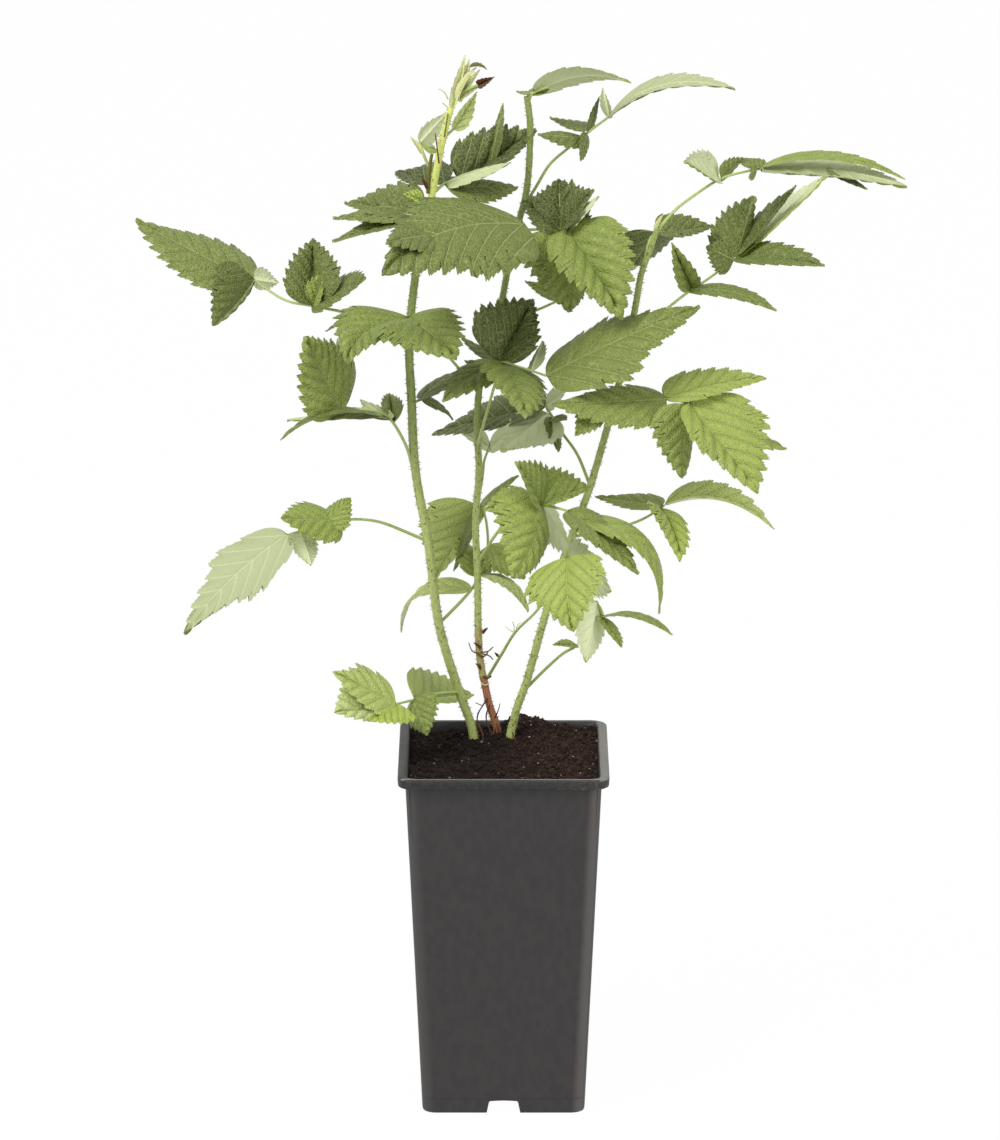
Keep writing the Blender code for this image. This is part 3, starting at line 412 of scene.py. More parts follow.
# each leaf: its tone from dark to yellow green, its stalk and its leaflets, in millimetres
# a tone is partly the blade's own colour and partly painted light: blades turned away from the lamps,
# and low blades lit through from behind, get paler tones
leaves = {
    "leaf_far_left": dict(tone=0.3, stalk=[
        (-53, -1, 458), (-87, 14, 458), (-108, 26, 459), (-125, 38, 460), (-143, 52, 469)],
        leaflets=[
            leaflet((-144, 52, 468), (-211, 80, 496), 45, roll=8, fold=-8),
            leaflet((-142, 51, 469), (-166, 38, 445), 29, roll=-82, fold=-19, arch=3, lean=0.7,
                    tone=0.22),
            leaflet((-143, 52, 469), (-128, 50, 467), 16, roll=-97, fold=6, tone=0.7),
            leaflet((-108, 26, 459), (-108, 45, 494), 42, roll=-9, fold=38, lean=0.1, tone=0.2),
            leaflet((-108, 26, 459), (-101, 28, 478), 19, roll=-9, fold=38, tone=0.5),
            leaflet((-108, 26, 459), (-77, 4, 480), 32, roll=-1, fold=-3, lean=-0.35, tone=0.22),
            leaflet((-86, 14, 458), (-101, 30, 443), 10)]),
    "leaf_left_bow": dict(tone=0.4, stalk=[
        (-15, 34, 407), (-22, 20, 420), (-29, 6, 432), (-40, -10, 449), (-53, -18, 462)],
        leaflets=[
            leaflet((-53, -18, 462), (-87, -50, 443), 46, roll=15, fold=6, arch=4, sweep=8,
                    lean=0.15),
            leaflet((-53, -18, 462), (-26, -60, 448), 54, roll=-4, fold=10, arch=3, lean=0.2)]),
    "leaf_left_middle": dict(tone=0.43, stalk=[
        (-52, 7, 371), (-55, 2, 383), (-62, -8, 399), (-69, -16, 407), (-80, -16, 409),
        (-91, -14, 408)],
        leaflets=[
            leaflet((-91, -14, 408), (-112, -24, 453), 55, roll=4, fold=-10, lean=0.18),
            leaflet((-76, -16, 409), (-122, -12, 402), 20, roll=208, fold=4, tone=0.5),
            leaflet((-67, -14, 405), (-109, 6, 401), 18, roll=209, fold=2, tone=0.7),
            leaflet((-64, -10, 401), (-125, -32, 395), 25, roll=36, arch=11, tone=0.2),
            leaflet((-62, -8, 399), (-65, 26, 408), 17, fold=43, tone=0.32),
            leaflet((-65, -11, 402), (-81, 8, 409), 16, roll=-160)]),
    "leaf_left_inner": dict(tone=0.25, stalk=[(-51, 3, 408), (-47, 8, 409)],
        leaflets=[
            leaflet((-47, 8, 409), (-18, 34, 419), 18, roll=-32, fold=-2, arch=4),
            leaflet((-47, 8, 409), (-14, 14, 420), 18, roll=-35, fold=-2, arch=2),
            leaflet((-47, 8, 409), (-34, -2, 417), 9, roll=-14),
            leaflet((-47, 8, 409), (-29, 26, 392), 14, roll=-2, arch=3)]),
    "leaf_centre_upper": dict(tone=0.25, stalk=[
        (-15, 35, 375), (-10, 18, 397), (-5, 2, 419), (-2, -12, 435), (9, -22, 435),
        (24, -30, 432)],
        leaflets=[
            leaflet((-2, -12, 435), (17, 8, 467), 46, roll=12, fold=35, lobe=0.05, lean=-0.2,
                    tone=0.1),
            leaflet((-1, -13, 435), (12, -62, 415), 43, roll=-27, fold=2, arch=4, tone=0.38),
            leaflet((-2, -11, 434), (-34, -40, 419), 32, roll=16, fold=-7, arch=4, tone=0.3),
            leaflet((-2, -11, 434), (-22, 4, 432), 14, roll=6, fold=-9),
            leaflet((16, -26, 434), (22, -4, 446), 14, roll=137, fold=9),
            leaflet((-2, -11, 434), (-25, 16, 444), 14, roll=25),
            leaflet((24, -30, 432), (110, -26, 470), 44, roll=-1, fold=-11, arch=3, lobe=0.2,
                    tone=0.33)]),
    "leaf_centre": dict(tone=0.24, stalk=[
        (49, 2, 360), (42, 10, 376), (33, 20, 387), (24, 30, 400)],
        leaflets=[
            leaflet((24, 30, 399), (-41, 77, 370), 34, roll=-1, fold=11, arch=2, tone=0.14),
            leaflet((26, 27, 396), (-2, 8, 379), 38, roll=-167, fold=-1, lean=0.15, tone=1.0),
            leaflet((28, 25, 394), (31, 4, 379), 14, roll=-44, fold=-9),
            leaflet((28, 25, 394), (36, 8, 397), 10, roll=6, fold=4),
            leaflet((24, 30, 400), (37, 46, 406), 15, roll=-96, fold=3)]),
    "leaf_centre_pale": dict(tone=0.45, stalk=[
        (-14, 36, 345), (-12, 45, 355), (-11, 52, 362), (-8, 56, 369)],
        leaflets=[
            leaflet((-8, 56, 369), (-30, 76, 377), 20, roll=85, fold=13),
            leaflet((-8, 56, 369), (10, 74, 378), 17, roll=-91, fold=2)]),
    "leaf_right_middle": dict(tone=0.6, stalk=[
        (62, -3, 409), (77, -18, 413), (91, -28, 418), (104, -34, 417)],
        leaflets=[
            leaflet((91, -28, 418), (27, -46, 419), 36, roll=1, fold=-10, lean=-0.1, tone=0.4),
            leaflet((54, -39, 418), (40, -45, 401), 21, roll=6, tone=0.4),
            leaflet((90, -27, 418), (148, -6, 424), 32, roll=-11, fold=12, arch=3, tone=0.62),
            leaflet((103, -34, 417), (99, -46, 377), 41, roll=-54, fold=-25, tone=0.45),
            leaflet((104, -34, 417), (141, -66, 373), 51, roll=-14, fold=16, lobe=0.1, lean=-0.25),
            leaflet((104, -34, 417), (159, -10, 384), 30, roll=-7, fold=-13)]),
    "leaf_centre_lower": dict(tone=0.5, stalk=[
        (-14, 35, 307), (-3, 10, 331), (9, -12, 348), (21, -30, 357), (36, -38, 356)],
        leaflets=[
            leaflet((21, -30, 357), (6, -44, 386), 30, roll=-2, fold=17, lean=0.2, tone=0.46),
            leaflet((21, -30, 357), (49, -22, 365), 34, roll=-10, fold=26, lean=-0.35, tone=0.46),
            leaflet((21, -30, 357), (4, -64, 324), 50, roll=-58, fold=-21, arch=6, lean=0.2,
                    tone=0.57),
            leaflet((20, -29, 358), (-11, -55, 361), 27, roll=-16, fold=-5, arch=2, tone=0.6),
            leaflet((22, -30, 357), (39, -12, 324), 25, roll=-165, fold=12, tone=0.9),
            leaflet((36, -38, 356), (75, -58, 324), 34, roll=-22, fold=13, arch=3, lean=0.25,
                    tone=0.38),
            leaflet((42, -38, 351), (87, -40, 296), 29, roll=-31, arch=20, tone=0.56)]),
    "leaf_right_low": dict(tone=0.6, stalk=[
        (39, 5, 329), (53, 2, 333), (66, 0, 336), (80, -2, 342), (91, -4, 350)],
        leaflets=[
            leaflet((90, -4, 350), (52, 14, 350), 25, roll=21, fold=3, tone=0.46),
            leaflet((89, -4, 348), (99, -34, 325), 33, roll=-36, fold=18, arch=3, lean=0.3, tone=0.7),
            leaflet((91, -4, 350), (153, -16, 339), 24, roll=-12, fold=32, arch=12, tone=0.95)]),
    "leaf_front_yellow": dict(tone=0.66, stalk=[
        (-10, 33, 236), (-1, 18, 256), (7, 2, 274), (19, -24, 294), (30, -46, 317),
        (36, -60, 335)],
        leaflets=[
            leaflet((36, -60, 335), (39, -90, 300), 47, roll=27, fold=2, arch=5, lobe=0.05),
            leaflet((36, -58, 334), (61, -34, 308), 34, roll=-160, fold=-5, tone=0.7)]),
    "leaf_low_right": dict(tone=0.62, stalk=[
        (12, 22, 233), (23, 24, 244), (34, 22, 255), (42, 18, 261), (49, 12, 272), (56, 8, 281),
        (53, 6, 291)],
        leaflets=[
            leaflet((53, 6, 291), (47, -20, 262), 27, roll=129, fold=12, tone=0.95),
            leaflet((42, 18, 261), (28, 6, 265), 10, roll=8, fold=14),
            leaflet((56, 8, 281), (96, -10, 275), 20, roll=-34, arch=6),
            leaflet((56, 8, 281), (67, -14, 269), 16, roll=-40, fold=8)]),
    "leaf_bottom_left": dict(tone=0.85, stalk=[
        (-25, 25, 231), (-38, 12, 234), (-51, 0, 234), (-63, -10, 234)],
        leaflets=[
            leaflet((-63, -10, 234), (-96, -36, 237), 35, roll=-25, lean=0.5, tone=1.0),
            leaflet((-62, -9, 235), (-97, -32, 260), 26, roll=-20, tone=0.92),
            leaflet((-61, -8, 234), (-77, -30, 230), 27, roll=13, fold=-8, lean=-0.35),
            leaflet((-51, 0, 234), (-18, 84, 211), 32, roll=18, fold=24, lean=-0.3, tone=0.64),
            leaflet((-52, 0, 234), (-43, -14, 217), 28, roll=58, fold=-10, lean=-0.15, tone=0.4)]),
    "leaf_left_low": dict(tone=0.52, stalk=[
        (-43, 10, 325), (-57, 4, 333), (-69, -4, 340), (-80, -12, 344), (-92, -18, 345),
        (-106, -24, 343), (-121, -30, 340)],
        leaflets=[
            leaflet((-92, -18, 345), (-125, -44, 353), 34, roll=-8, fold=-15, lean=0.1),
            leaflet((-100, -22, 345), (-86, -18, 358), 24, roll=-8, fold=-15),
            leaflet((-121, -30, 340), (-180, -50, 288), 40, roll=-170, fold=-10, sweep=-5, lobe=0.2,
                    lean=0.15, tone=0.2),
            leaflet((-115, -27, 341), (-108, -40, 325), 22, roll=147, fold=4, tone=0.6)]),
    "leaf_centre_behind": dict(tone=0.5, stalk=[
        (-37, 18, 274), (-20, 34, 288), (-12, 48, 298), (-9, 56, 310), (-10, 60, 324),
        (-13, 60, 334)],
        leaflets=[
            leaflet((-19, 36, 289), (-59, 58, 257), 22, roll=23, arch=15, tone=0.95),
            leaflet((-13, 46, 296), (14, 34, 276), 25, roll=-41, fold=-2, arch=7, lean=0.4,
                    tone=0.95),
            leaflet((-13, 60, 333), (-40, 70, 288), 39, roll=-85, fold=-19, lean=0.4, tone=0.93),
            leaflet((-13, 60, 333), (-29, 44, 298), 18, roll=-87, fold=-2, tone=0.3),
            leaflet((-12, 47, 294), (-27, 62, 314), 27, roll=31, tone=0.6),
            leaflet((-9, 56, 310), (12, 44, 293), 34, roll=-24, fold=-1, tone=0.62),
            leaflet((-12, 60, 333), (-23, 50, 318), 10, roll=-72, fold=9),
            leaflet((-13, 60, 334), (9, 44, 355), 16, roll=-8)]),
    "leaf_upper_big": dict(tone=0.24, stalk=[
        (5, 28, 497), (9, 8, 506), (11, -24, 517)],
        leaflets=[
            leaflet((11, -24, 517), (-67, -78, 500), 68, fold=-6, arch=6, sweep=10, lobe=0.12,
                    lean=-0.12),
            leaflet((-38, -48, 516), (-65, -70, 516), 30, fold=-4, arch=2, tone=0.2)]),
    "leaf_upper_left": dict(tone=0.25, stalk=[(-42, -5, 520), (-46, -14, 521)],
        leaflets=[
            leaflet((-46, -14, 521), (-89, 6, 522), 38, roll=7, fold=23, tone=0.2),
            leaflet((-46, -14, 521), (-95, -24, 520), 30, roll=23, fold=4, tone=0.28),
            leaflet((-46, -14, 521), (-95, -34, 509), 27, roll=25, fold=10),
            leaflet((-46, -13, 521), (-53, -16, 533), 10, roll=11, tone=0.6)]),
    "leaf_crown_left": dict(tone=0.08, stalk=[(-40, -5, 530), (-32, 4, 535), (-25, 16, 532)],
        leaflets=[
            leaflet((-25, 18, 532), (19, 40, 557), 41, roll=5, fold=38),
            leaflet((-7, 22, 543), (0, 40, 573), 13, roll=-49, fold=-3, tone=0.2),
            leaflet((-32, 4, 535), (4, -12, 550), 17, roll=169, fold=10, tone=0.5),
            leaflet((-33, 2, 534), (8, 20, 528), 32, roll=-12, fold=-3, lean=0.15, tone=0.26),
            leaflet((-33, 4, 534), (-61, 35, 534), 30, roll=6, fold=18, tone=0.0)]),
    "leaf_tip_pale": dict(tone=0.9, stalk=[(-39, -6, 540), (-44, 0, 550), (-47, 4, 558)],
        leaflets=[
            leaflet((-47, 4, 558), (-32, 14, 573), 15, roll=-104, fold=3, lean=-0.25),
            leaflet((-47, 4, 558), (-37, 16, 550), 11, roll=25, fold=8)]),
    "leaf_tip_right": dict(tone=0.5, stalk=[(-34, -7, 562), (-27, -4, 568)],
        leaflets=[
            leaflet((-28, -5, 567), (-15, -2, 588), 12, roll=70, fold=25, tone=0.97)]),
    "leaf_tip_young": dict(tone=0.5, finish="rust", stalk=[
        (-28, -8, 584), (-21, -14, 591), (-14, -18, 595)],
        leaflets=[
            leaflet((-14, -18, 595), (-5, -26, 601), 8, roll=69, fold=50)]),
    "leaf_upper_middle": dict(tone=0.3, stalk=[
        (7, 28, 503), (15, 22, 504), (29, 10, 507), (41, 0, 507)],
        leaflets=[
            leaflet((32, 8, 507), (10, 14, 522), 41, roll=-2, fold=22, lean=0.3, tone=0.08),
            leaflet((32, 8, 507), (31, 16, 535), 34, roll=-2, fold=5, tone=0.08),
            leaflet((32, 8, 507), (51, -2, 532), 30, roll=-4, fold=20, lean=-0.1, tone=0.1),
            leaflet((33, 3, 506), (53, -8, 530), 14, roll=170, tone=0.7),
            leaflet((36, 0, 509), (66, -32, 464), 52, roll=5, fold=25, arch=5, lean=-0.05,
                    tone=0.44),
            leaflet((33, 7, 507), (36, -12, 464), 54, roll=-41, fold=-13, arch=4, lean=0.12,
                    tone=0.42)]),
    "leaf_upper_inner": dict(tone=0.55, stalk=[
        (-3, 30, 449), (9, 27, 453), (20, 22, 458), (32, 16, 465)],
        leaflets=[
            leaflet((32, 16, 465), (12, 22, 474), 18, roll=17, fold=11),
            leaflet((32, 16, 465), (46, 10, 471), 12, roll=-9, fold=4)]),
    "leaf_top_middle": dict(tone=0.42, stalk=[(14, 24, 576), (16, 22, 582), (25, 16, 587)],
        leaflets=[
            leaflet((16, 22, 581), (27, 30, 586), 12, roll=-16, fold=7),
            leaflet((17, 21, 583), (71, 0, 592), 22, roll=-65, fold=2, arch=8, tone=0.55),
            leaflet((16, 22, 582), (7, 34, 581), 7, roll=12)]),
    "leaf_top_arching": dict(tone=0.25, stalk=[
        (10, 27, 514), (18, 32, 526), (26, 34, 539), (36, 34, 548), (49, 32, 559), (59, 30, 567)],
        leaflets=[
            leaflet((48, 32, 559), (26, 46, 563), 21, roll=23, fold=-5, lean=0.45),
            leaflet((44, 33, 555), (19, 14, 560), 18, roll=1, fold=-16),
            leaflet((47, 32, 557), (43, 18, 544), 11, roll=-64, fold=-3),
            leaflet((48, 32, 559), (54, 40, 577), 9, roll=76),
            leaflet((59, 30, 567), (56, 44, 581), 11, roll=-131, fold=3, tone=0.5),
            leaflet((59, 30, 567), (129, 8, 588), 25, roll=162, fold=-3, arch=-11, lean=0.3,
                    tone=0.2)]),
    "leaf_behind_right": dict(tone=0.18, stalk=[(79, -10, 493), (82, 4, 502), (86, 12, 505)],
        leaflets=[
            leaflet((86, 12, 505), (71, 36, 478), 32, roll=-128, fold=-11),
            leaflet((86, 12, 505), (118, 24, 505), 23, roll=-2, fold=16, lean=-0.1)]),
    "leaf_right_upper": dict(tone=0.3, stalk=[
        (70, -6, 448), (80, 0, 455), (90, 4, 461), (103, 10, 470), (115, 15, 477), (132, 22, 488)],
        leaflets=[
            leaflet((132, 22, 488), (141, 34, 521), 41, roll=42, fold=-47, tone=0.22),
            leaflet((130, 21, 487), (114, 19, 495), 25, roll=-16, fold=-4, tone=0.22),
            leaflet((132, 22, 488), (183, 62, 527), 31, roll=143, fold=-13, lean=0.12, tone=0.8),
            leaflet((132, 22, 489), (166, 42, 525), 18, roll=-30, fold=13, lean=-0.3, tone=0.2),
            leaflet((132, 22, 488), (180, -6, 489), 27, roll=-6, fold=15, arch=2, tone=0.26),
            leaflet((106, 11, 473), (94, -6, 503), 18, roll=-76, fold=43, tone=0.4),
            leaflet((105, 11, 472), (153, -10, 464), 22, roll=-19, fold=-3, arch=5, lean=-0.15)]),
    "leaf_top_right": dict(tone=0.5, stalk=[
        (86, -12, 511), (94, -8, 520), (104, -2, 527), (121, 8, 536), (135, 14, 539),
        (145, 18, 540)],
        leaflets=[
            leaflet((121, 8, 536), (101, -8, 550), 24, roll=173, fold=-20, lean=-0.2, tone=0.6),
            leaflet((122, 8, 536), (135, 22, 545), 13, roll=85, fold=-22, lean=-0.2, tone=0.3),
            leaflet((145, 18, 541), (224, -8, 539), 16, roll=-18, fold=6, arch=10, tone=0.5),
            leaflet((144, 17, 540), (133, 28, 544), 16, roll=16, fold=10, tone=0.3),
            leaflet((142, 17, 539), (137, 4, 538), 9, roll=-85),
            leaflet((181, 5, 543), (203, -6, 533), 14, roll=-28, tone=0.3),
            leaflet((145, 18, 540), (225, -10, 536), 34, roll=158, fold=-5, arch=-4, lobe=0.1,
                    lean=0.05, tone=0.35)]),
}


leafTree = leafletTree(leafShape)
stalkTree = stemTree()
upHint = Vector((0.0, -0.5, 0.87)).normalized()
stalkStyle = {"radius": 0.95, "taper": 0.35, "step": 2.5 * mm, "sides": 8, "knobs": 0.1 * mm,
              "hairs": 60000.0, "long": 0.7 * mm, "wide": 0.07 * mm}
# a blade has one more vein for each 24 mm of its length, and under 24 mm wide it is a small one,
# with fewer rows of faces to each vein and fewer columns
bladeGrid = {"veins": 3.4, "perVein": 24, "small": 24,
             "rows": {True: 13, False: 17}, "columns": {True: 11, False: 19}}


def bladeUpward(plan):
    # the direction a blade's top faces, turned about its midrib by its roll
    forward = (Vector(plan["tip"]) - Vector(plan["base"])).normalized()
    level = (upHint - forward * upHint.dot(forward)).normalized()
    return Matrix.Rotation(math.radians(plan["roll"]), 3, forward) @ level


def growLeaflet(name, plan, tone, seed, materials):
    long = (Vector(plan["tip"]) - Vector(plan["base"])).length
    veins = bladeGrid["veins"] + long / bladeGrid["perVein"]
    small = plan["width"] < bladeGrid["small"]
    return growObject(name, bpy.data.meshes.new(name), leafTree, {
        "Base": placed(plan["base"]), "Tip": placed(plan["tip"]), "Upward": bladeUpward(plan),
        "Width": plan["width"] * mm, "Fold": math.radians(plan["fold"]),
        "Arch": plan["arch"] * mm, "Sweep": plan["sweep"] * mm, "Lobe": float(plan["lobe"]),
        "Lean": float(plan["lean"]),
        "Veins": veins, "Rows": int(veins * bladeGrid["rows"][small]),
        "Columns": bladeGrid["columns"][small], "Tone": tone if plan["tone"] is None else plan["tone"],
        "Seed": seed, "Top": materials["top"], "Underside": materials["underside"]})


def stemCurve(name, points, radii):
    curve = bpy.data.curves.new(name, "CURVE")
    curve.dimensions = "3D"
    spline = curve.splines.new("POLY")
    spline.points.add(len(points) - 1)
    for knot, point, radius in zip(spline.points, points, radii):
        knot.co = (*point, 1.0)
        knot.radius = radius
    return curve


def growStalk(name, stalk, seed, materials):
    count = len(stalk)
    radii = [stalkStyle["radius"] * (1 - stalkStyle["taper"] * index / count) * mm
             for index in range(count)]
    curve = stemCurve(name, [placed(point) for point in stalk], radii)
    return growObject(name, curve, stalkTree, {
        "Sides": stalkStyle["sides"], "Step": stalkStyle["step"], "Knobs": stalkStyle["knobs"],
        "Prickles": stalkStyle["hairs"], "Prickle Length": stalkStyle["long"],
        "Prickle Width": stalkStyle["wide"], "Seed": seed,
        "Bark": materials["stalk"], "Prickle": materials["hair"]})


def growLeaves(materials):
    for number, (node, plan) in enumerate(leaves.items()):
        growers = [growStalk(node + "Stalk", plan["stalk"], number, materials)]
        finishes = materials
        if "finish" in plan:
            finish = materials[plan["finish"]]
            finishes = dict(materials, top=finish, underside=finish)
        for index, part in enumerate(plan["leaflets"]):
            seed = number * 3.7 + index * 1.3
            growers.append(growLeaflet(f"{node}Blade{index}", part, plan["tone"], seed, finishes))
        leaf = settle(growers + growTrim(node, materials, number * 5.0), node + "Grown")
        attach(leaf, "root")
        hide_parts(node)


def leafMaterials():
    materials = {}
    for label in ("top", "underside"):
        under = label == "underside"
        material, root, shader = openMaterial(
            "leafUnderside" if under else "leafTop", Roughness=0.5, Specular_IOR_Level=0.35)
        pattern = root.stored("blade")
        tone = root.stored("tone", "Fac")
        spot = root.stored("grain")
        across, vein, out = pattern.split()
        near = abs((vein + 0.5).fract() - 0.5)
        sideVein = near.smooth(0.075, 0.015) * abs(across).smooth(1.0, 0.8)
        midrib = out.smooth(0.75, 0.25)
        veins = sideVein.most(midrib)
        cellEdge = root.add("ShaderNodeTexVoronoi", {"feature": "DISTANCE_TO_EDGE"},
                            {"Vector": spot, "Scale": 0.5}, "Distance")
        mesh = cellEdge.smooth(0.16, 0.02)
        patches = spot.noise(0.055, 3.0)
        specks = spot.noise(0.6, 2.0)
        if under:
            # the pale end of the underside palette is partly painted light, brightened for undersides
            # that face away from the lamps
            body = root.add("ShaderNodeValToRGB", {"stops": [
                (0.0, paint(144, 152, 112)), (0.5, paint(182, 192, 144)),
                (1.0, paint(238, 244, 204))]}, {0: tone}, "Color")
            body = (patches * 0.5).between(body, paint(200, 208, 164))
            body = (veins * 0.5 + mesh * 0.06).between(body, paint(212, 218, 172))
        else:
            body = root.add("ShaderNodeValToRGB", {"stops": [
                (0.0, paint(54, 62, 24)), (0.25, paint(104, 116, 52)), (0.5, paint(138, 154, 68)),
                (0.68, paint(166, 182, 88)), (0.8, paint(166, 186, 54)),
                (1.0, paint(198, 210, 138))]}, {0: tone}, "Color")
            shade = (patches.smooth(0.35, 0.7) * 0.3).between(body, paint(120, 132, 74))
            # painted shade: the top is darkened in the sunken grooves next to the veins, less on pale
            # blades
            body = (near.smooth(0.3, 0.0) * (0.32 - tone * 0.3)).between(shade, paint(62, 80, 20))
            body = (mesh * 0.2 + (specks - 0.5) * 0.2).between(body, paint(180, 194, 124))
            body = (veins * (0.55 - tone * 0.4)).between(body, paint(176, 190, 124))
        feed(shader, "Base Color", body)
        feed(shader, "Roughness", patches * 0.14 + (0.62 if under else 0.42))
        height = cellEdge.smooth(0.0, 0.3) * (0.2 if under else 0.42) + specks * 0.15
        height = height + veins * (1.0 if under else -0.45) + near.smooth(0.0, 0.4) * 0.28
        feed(shader, "Normal", bump(root, height, 0.3 if under else 0.95, 0.8 * mm))
        materials[label] = material
    material, root, shader = openMaterial("leafStalk", Roughness=0.45)
    spot = root.spot()
    feed(shader, "Base Color", spot.noise(140.0, 3.0).smooth(0.35, 0.7).between(
        paint(150, 172, 92), paint(184, 200, 124)))
    materials["stalk"] = material
    material, root, shader = openMaterial("leafHair", Roughness=0.6)
    spot = root.spot()
    feed(shader, "Base Color", spot.noise(300.0).between(paint(190, 205, 140), paint(150, 130, 90)))
    materials["hair"] = material
    return materials


# each cane: its bark, and its route and radii in millimetres
canes = {
    "cane_left": dict(shaded=0.7, young=470, old=0, tip=580, radii=(2.6, 2.5, 1.6), route=[
        (-14, 29, 182), (-17, 28, 202), (-19, 28, 212), (-26, 25, 233), (-37, 18, 274),
        (-43, 10, 325), (-50, 7, 368), (-52, 3, 410), (-53, 0, 445), (-49, -3, 486),
        (-41, -5, 525), (-34, -7, 562), (-28, -8, 584), (-24, -8, 601), (-22, -8, 609)]),
    "cane_middle": dict(shaded=0.7, young=800, old=237, tip=600, radii=(2.3, 2.0, 1.8), route=[
        (-2, 33, 182), (-3, 32, 203), (-5, 32, 212), (-8, 32, 221), (-10, 32, 230),
        (-14, 34, 254), (-15, 35, 300), (-16, 36, 330), (-14, 36, 360), (-15, 35, 384),
        (-13, 33, 414), (-2, 30, 456), (5, 28, 494), (13, 26, 526), (15, 24, 561), (13, 24, 580)]),
    "cane_right": dict(shaded=0.5, young=800, old=0, tip=600, radii=(2.4, 2.2, 1.6), route=[
        (3, 23, 182), (4, 24, 205), (6, 24, 214), (8, 23, 223), (14, 21, 241), (23, 14, 277),
        (33, 7, 312), (44, 3, 344), (52, 0, 370), (64, -4, 417), (73, -7, 461), (77, -9, 485),
        (82, -11, 500), (86, -12, 513)]),
}
caneStyle = {"step": 3.0 * mm, "sides": 16, "knobs": 0.6 * mm, "prickles": 210000.0,
             "long": 1.5 * mm, "wide": 0.24 * mm, "slimming": 0.09, "slimmest": 0.25}
strandStyle = {"taper": 0.45, "step": 1.2 * mm, "sides": 6, "knobs": 0.3 * mm}

# small growth on the canes and on one stalk: young leaves, stipules, buds and root hairs
trim = {
    "cane_left": dict(
        blades=[
            ("silky", leaflet((-28, -9, 580), (-21, -10, 610), 9, fold=52, arch=-1, tone=0.6)),
            ("silky", leaflet((-24, -6, 588), (-19, -5, 607), 8, roll=25, fold=40, tone=0.4)),
            ("silky", leaflet((-25, -11, 584), (-15, -13, 604), 8, roll=-10, fold=40, arch=2,
                              tone=0.9)),
            ("olive", leaflet((-19, -13, 604), (-9, -15, 603), 4, fold=30, arch=2, tone=0.1)),
            ("silky", leaflet((-22, -8, 587), (-13, -9, 602), 7, roll=-20, fold=45, tone=0.3)),
            ("silky", leaflet((-23, -12, 586), (-12, -17, 595), 6, fold=40, tone=0.6)),
            ("silky", leaflet((-46, -8, 554), (-52, -9, 564), 5, fold=45, tone=0.3)),
            ("top", leaflet((-45, -11, 528), (-56, -17, 533), 10, roll=-15, fold=25, tone=0.85)),
            ("rust", leaflet((-43, -9, 534), (-46, -11, 542), 3, fold=40, tone=0.3))],
        strands=[
            ("rust", 0.5, [(-36, -10, 549), (-37, -11, 558), (-38, -11, 566)]),
            ("olive", 0.5, [(-33, -11, 564), (-32, -11, 570), (-31, -10, 577)]),
            ("olive", 1.3, [(-42, -6, 531), (-42, -6, 541), (-40, -4, 553)]),
            ("silkyStem", 0.4, [(-31, -8, 585), (-33, -9, 589), (-36, -10, 591)]),
            ("silkyStem", 0.4, [(-31, -8, 580), (-34, -9, 583)]),
            ("silkyStem", 1.0, [(-24, -9, 584), (-21, -12, 589), (-13, -16, 594)]),
            ("rust", 0.5, [(-15, 26, 212), (-12, 25, 206), (-12, 24, 199)])]),
    "cane_middle": dict(
        blades=[
            ("rust", leaflet((-13, 32, 255), (-17, 31, 259), 3, fold=30, tone=0.1)),
            ("rust", leaflet((-12, 32, 264), (-9, 31, 268), 3, fold=30, tone=0.1)),
            ("rust", leaflet((-13, 31, 243), (-16, 30, 247), 3, fold=30, tone=0.1)),
            ("silky", leaflet((13, 24, 578), (17, 22, 583), 4, fold=30, tone=0.3))],
        strands=[
            ("rust", 0.5, [(-13, 32, 253), (-9, 30, 254), (-6, 29, 257)]),
            ("rust", 0.4, [(-12, 32, 252), (-8, 31, 251), (-6, 30, 249)]),
            ("rust", 0.4, [(-14, 32, 252), (-18, 31, 254), (-20, 31, 259)]),
            ("rust", 0.6, [(-15, 31, 253), (-12, 29, 251), (-9, 31, 253)]),
            ("rust", 0.6, [(-12, 30, 239), (-9, 30, 238), (-7, 31, 239)]),
            ("silkyStem", 0.5, [(-13, 31, 235), (-11, 29, 234), (-8, 30, 235)]),
            ("dark", 0.5, [(-9, 30, 226), (-12, 28, 222), (-15, 28, 216), (-15, 28, 207)]),
            ("dark", 0.35, [(-12, 28, 222), (-16, 27, 224)]),
            ("rust", 0.5, [(-8, 30, 222), (-10, 29, 214), (-6, 28, 203)]),
            ("dark", 0.35, [(-5, 30, 214), (-3, 29, 219), (-2, 29, 223)]),
            ("rust", 0.9, [(-5, 31, 212), (-2, 29, 206), (0, 28, 201)]),
            ("rust", 0.8, [(-4, 31, 210), (-6, 29, 204), (-8, 28, 200)])]),
    "cane_right": dict(
        blades=[("silky", leaflet((85, -13, 512), (89, -15, 521), 4, fold=40, tone=0.3))],
        strands=[("rust", 0.4, [(5, 22, 208), (7, 21, 203), (8, 20, 199)])]),
    "leaf_front_yellow": dict(
        blades=[("rust", leaflet((-3, 19, 254), (-5, 18, 257), 2, fold=30, tone=0.2))],
        strands=[
            ("silkyStem", 0.3, [(6, 4, 273), (6, 3, 277), (5, 2, 280)]),
            ("silkyStem", 0.3, [(7, 3, 274), (8, 1, 278), (10, 0, 280)]),
            ("silkyStem", 0.3, [(6, 4, 273), (3, 3, 275), (1, 3, 277)])]),
}


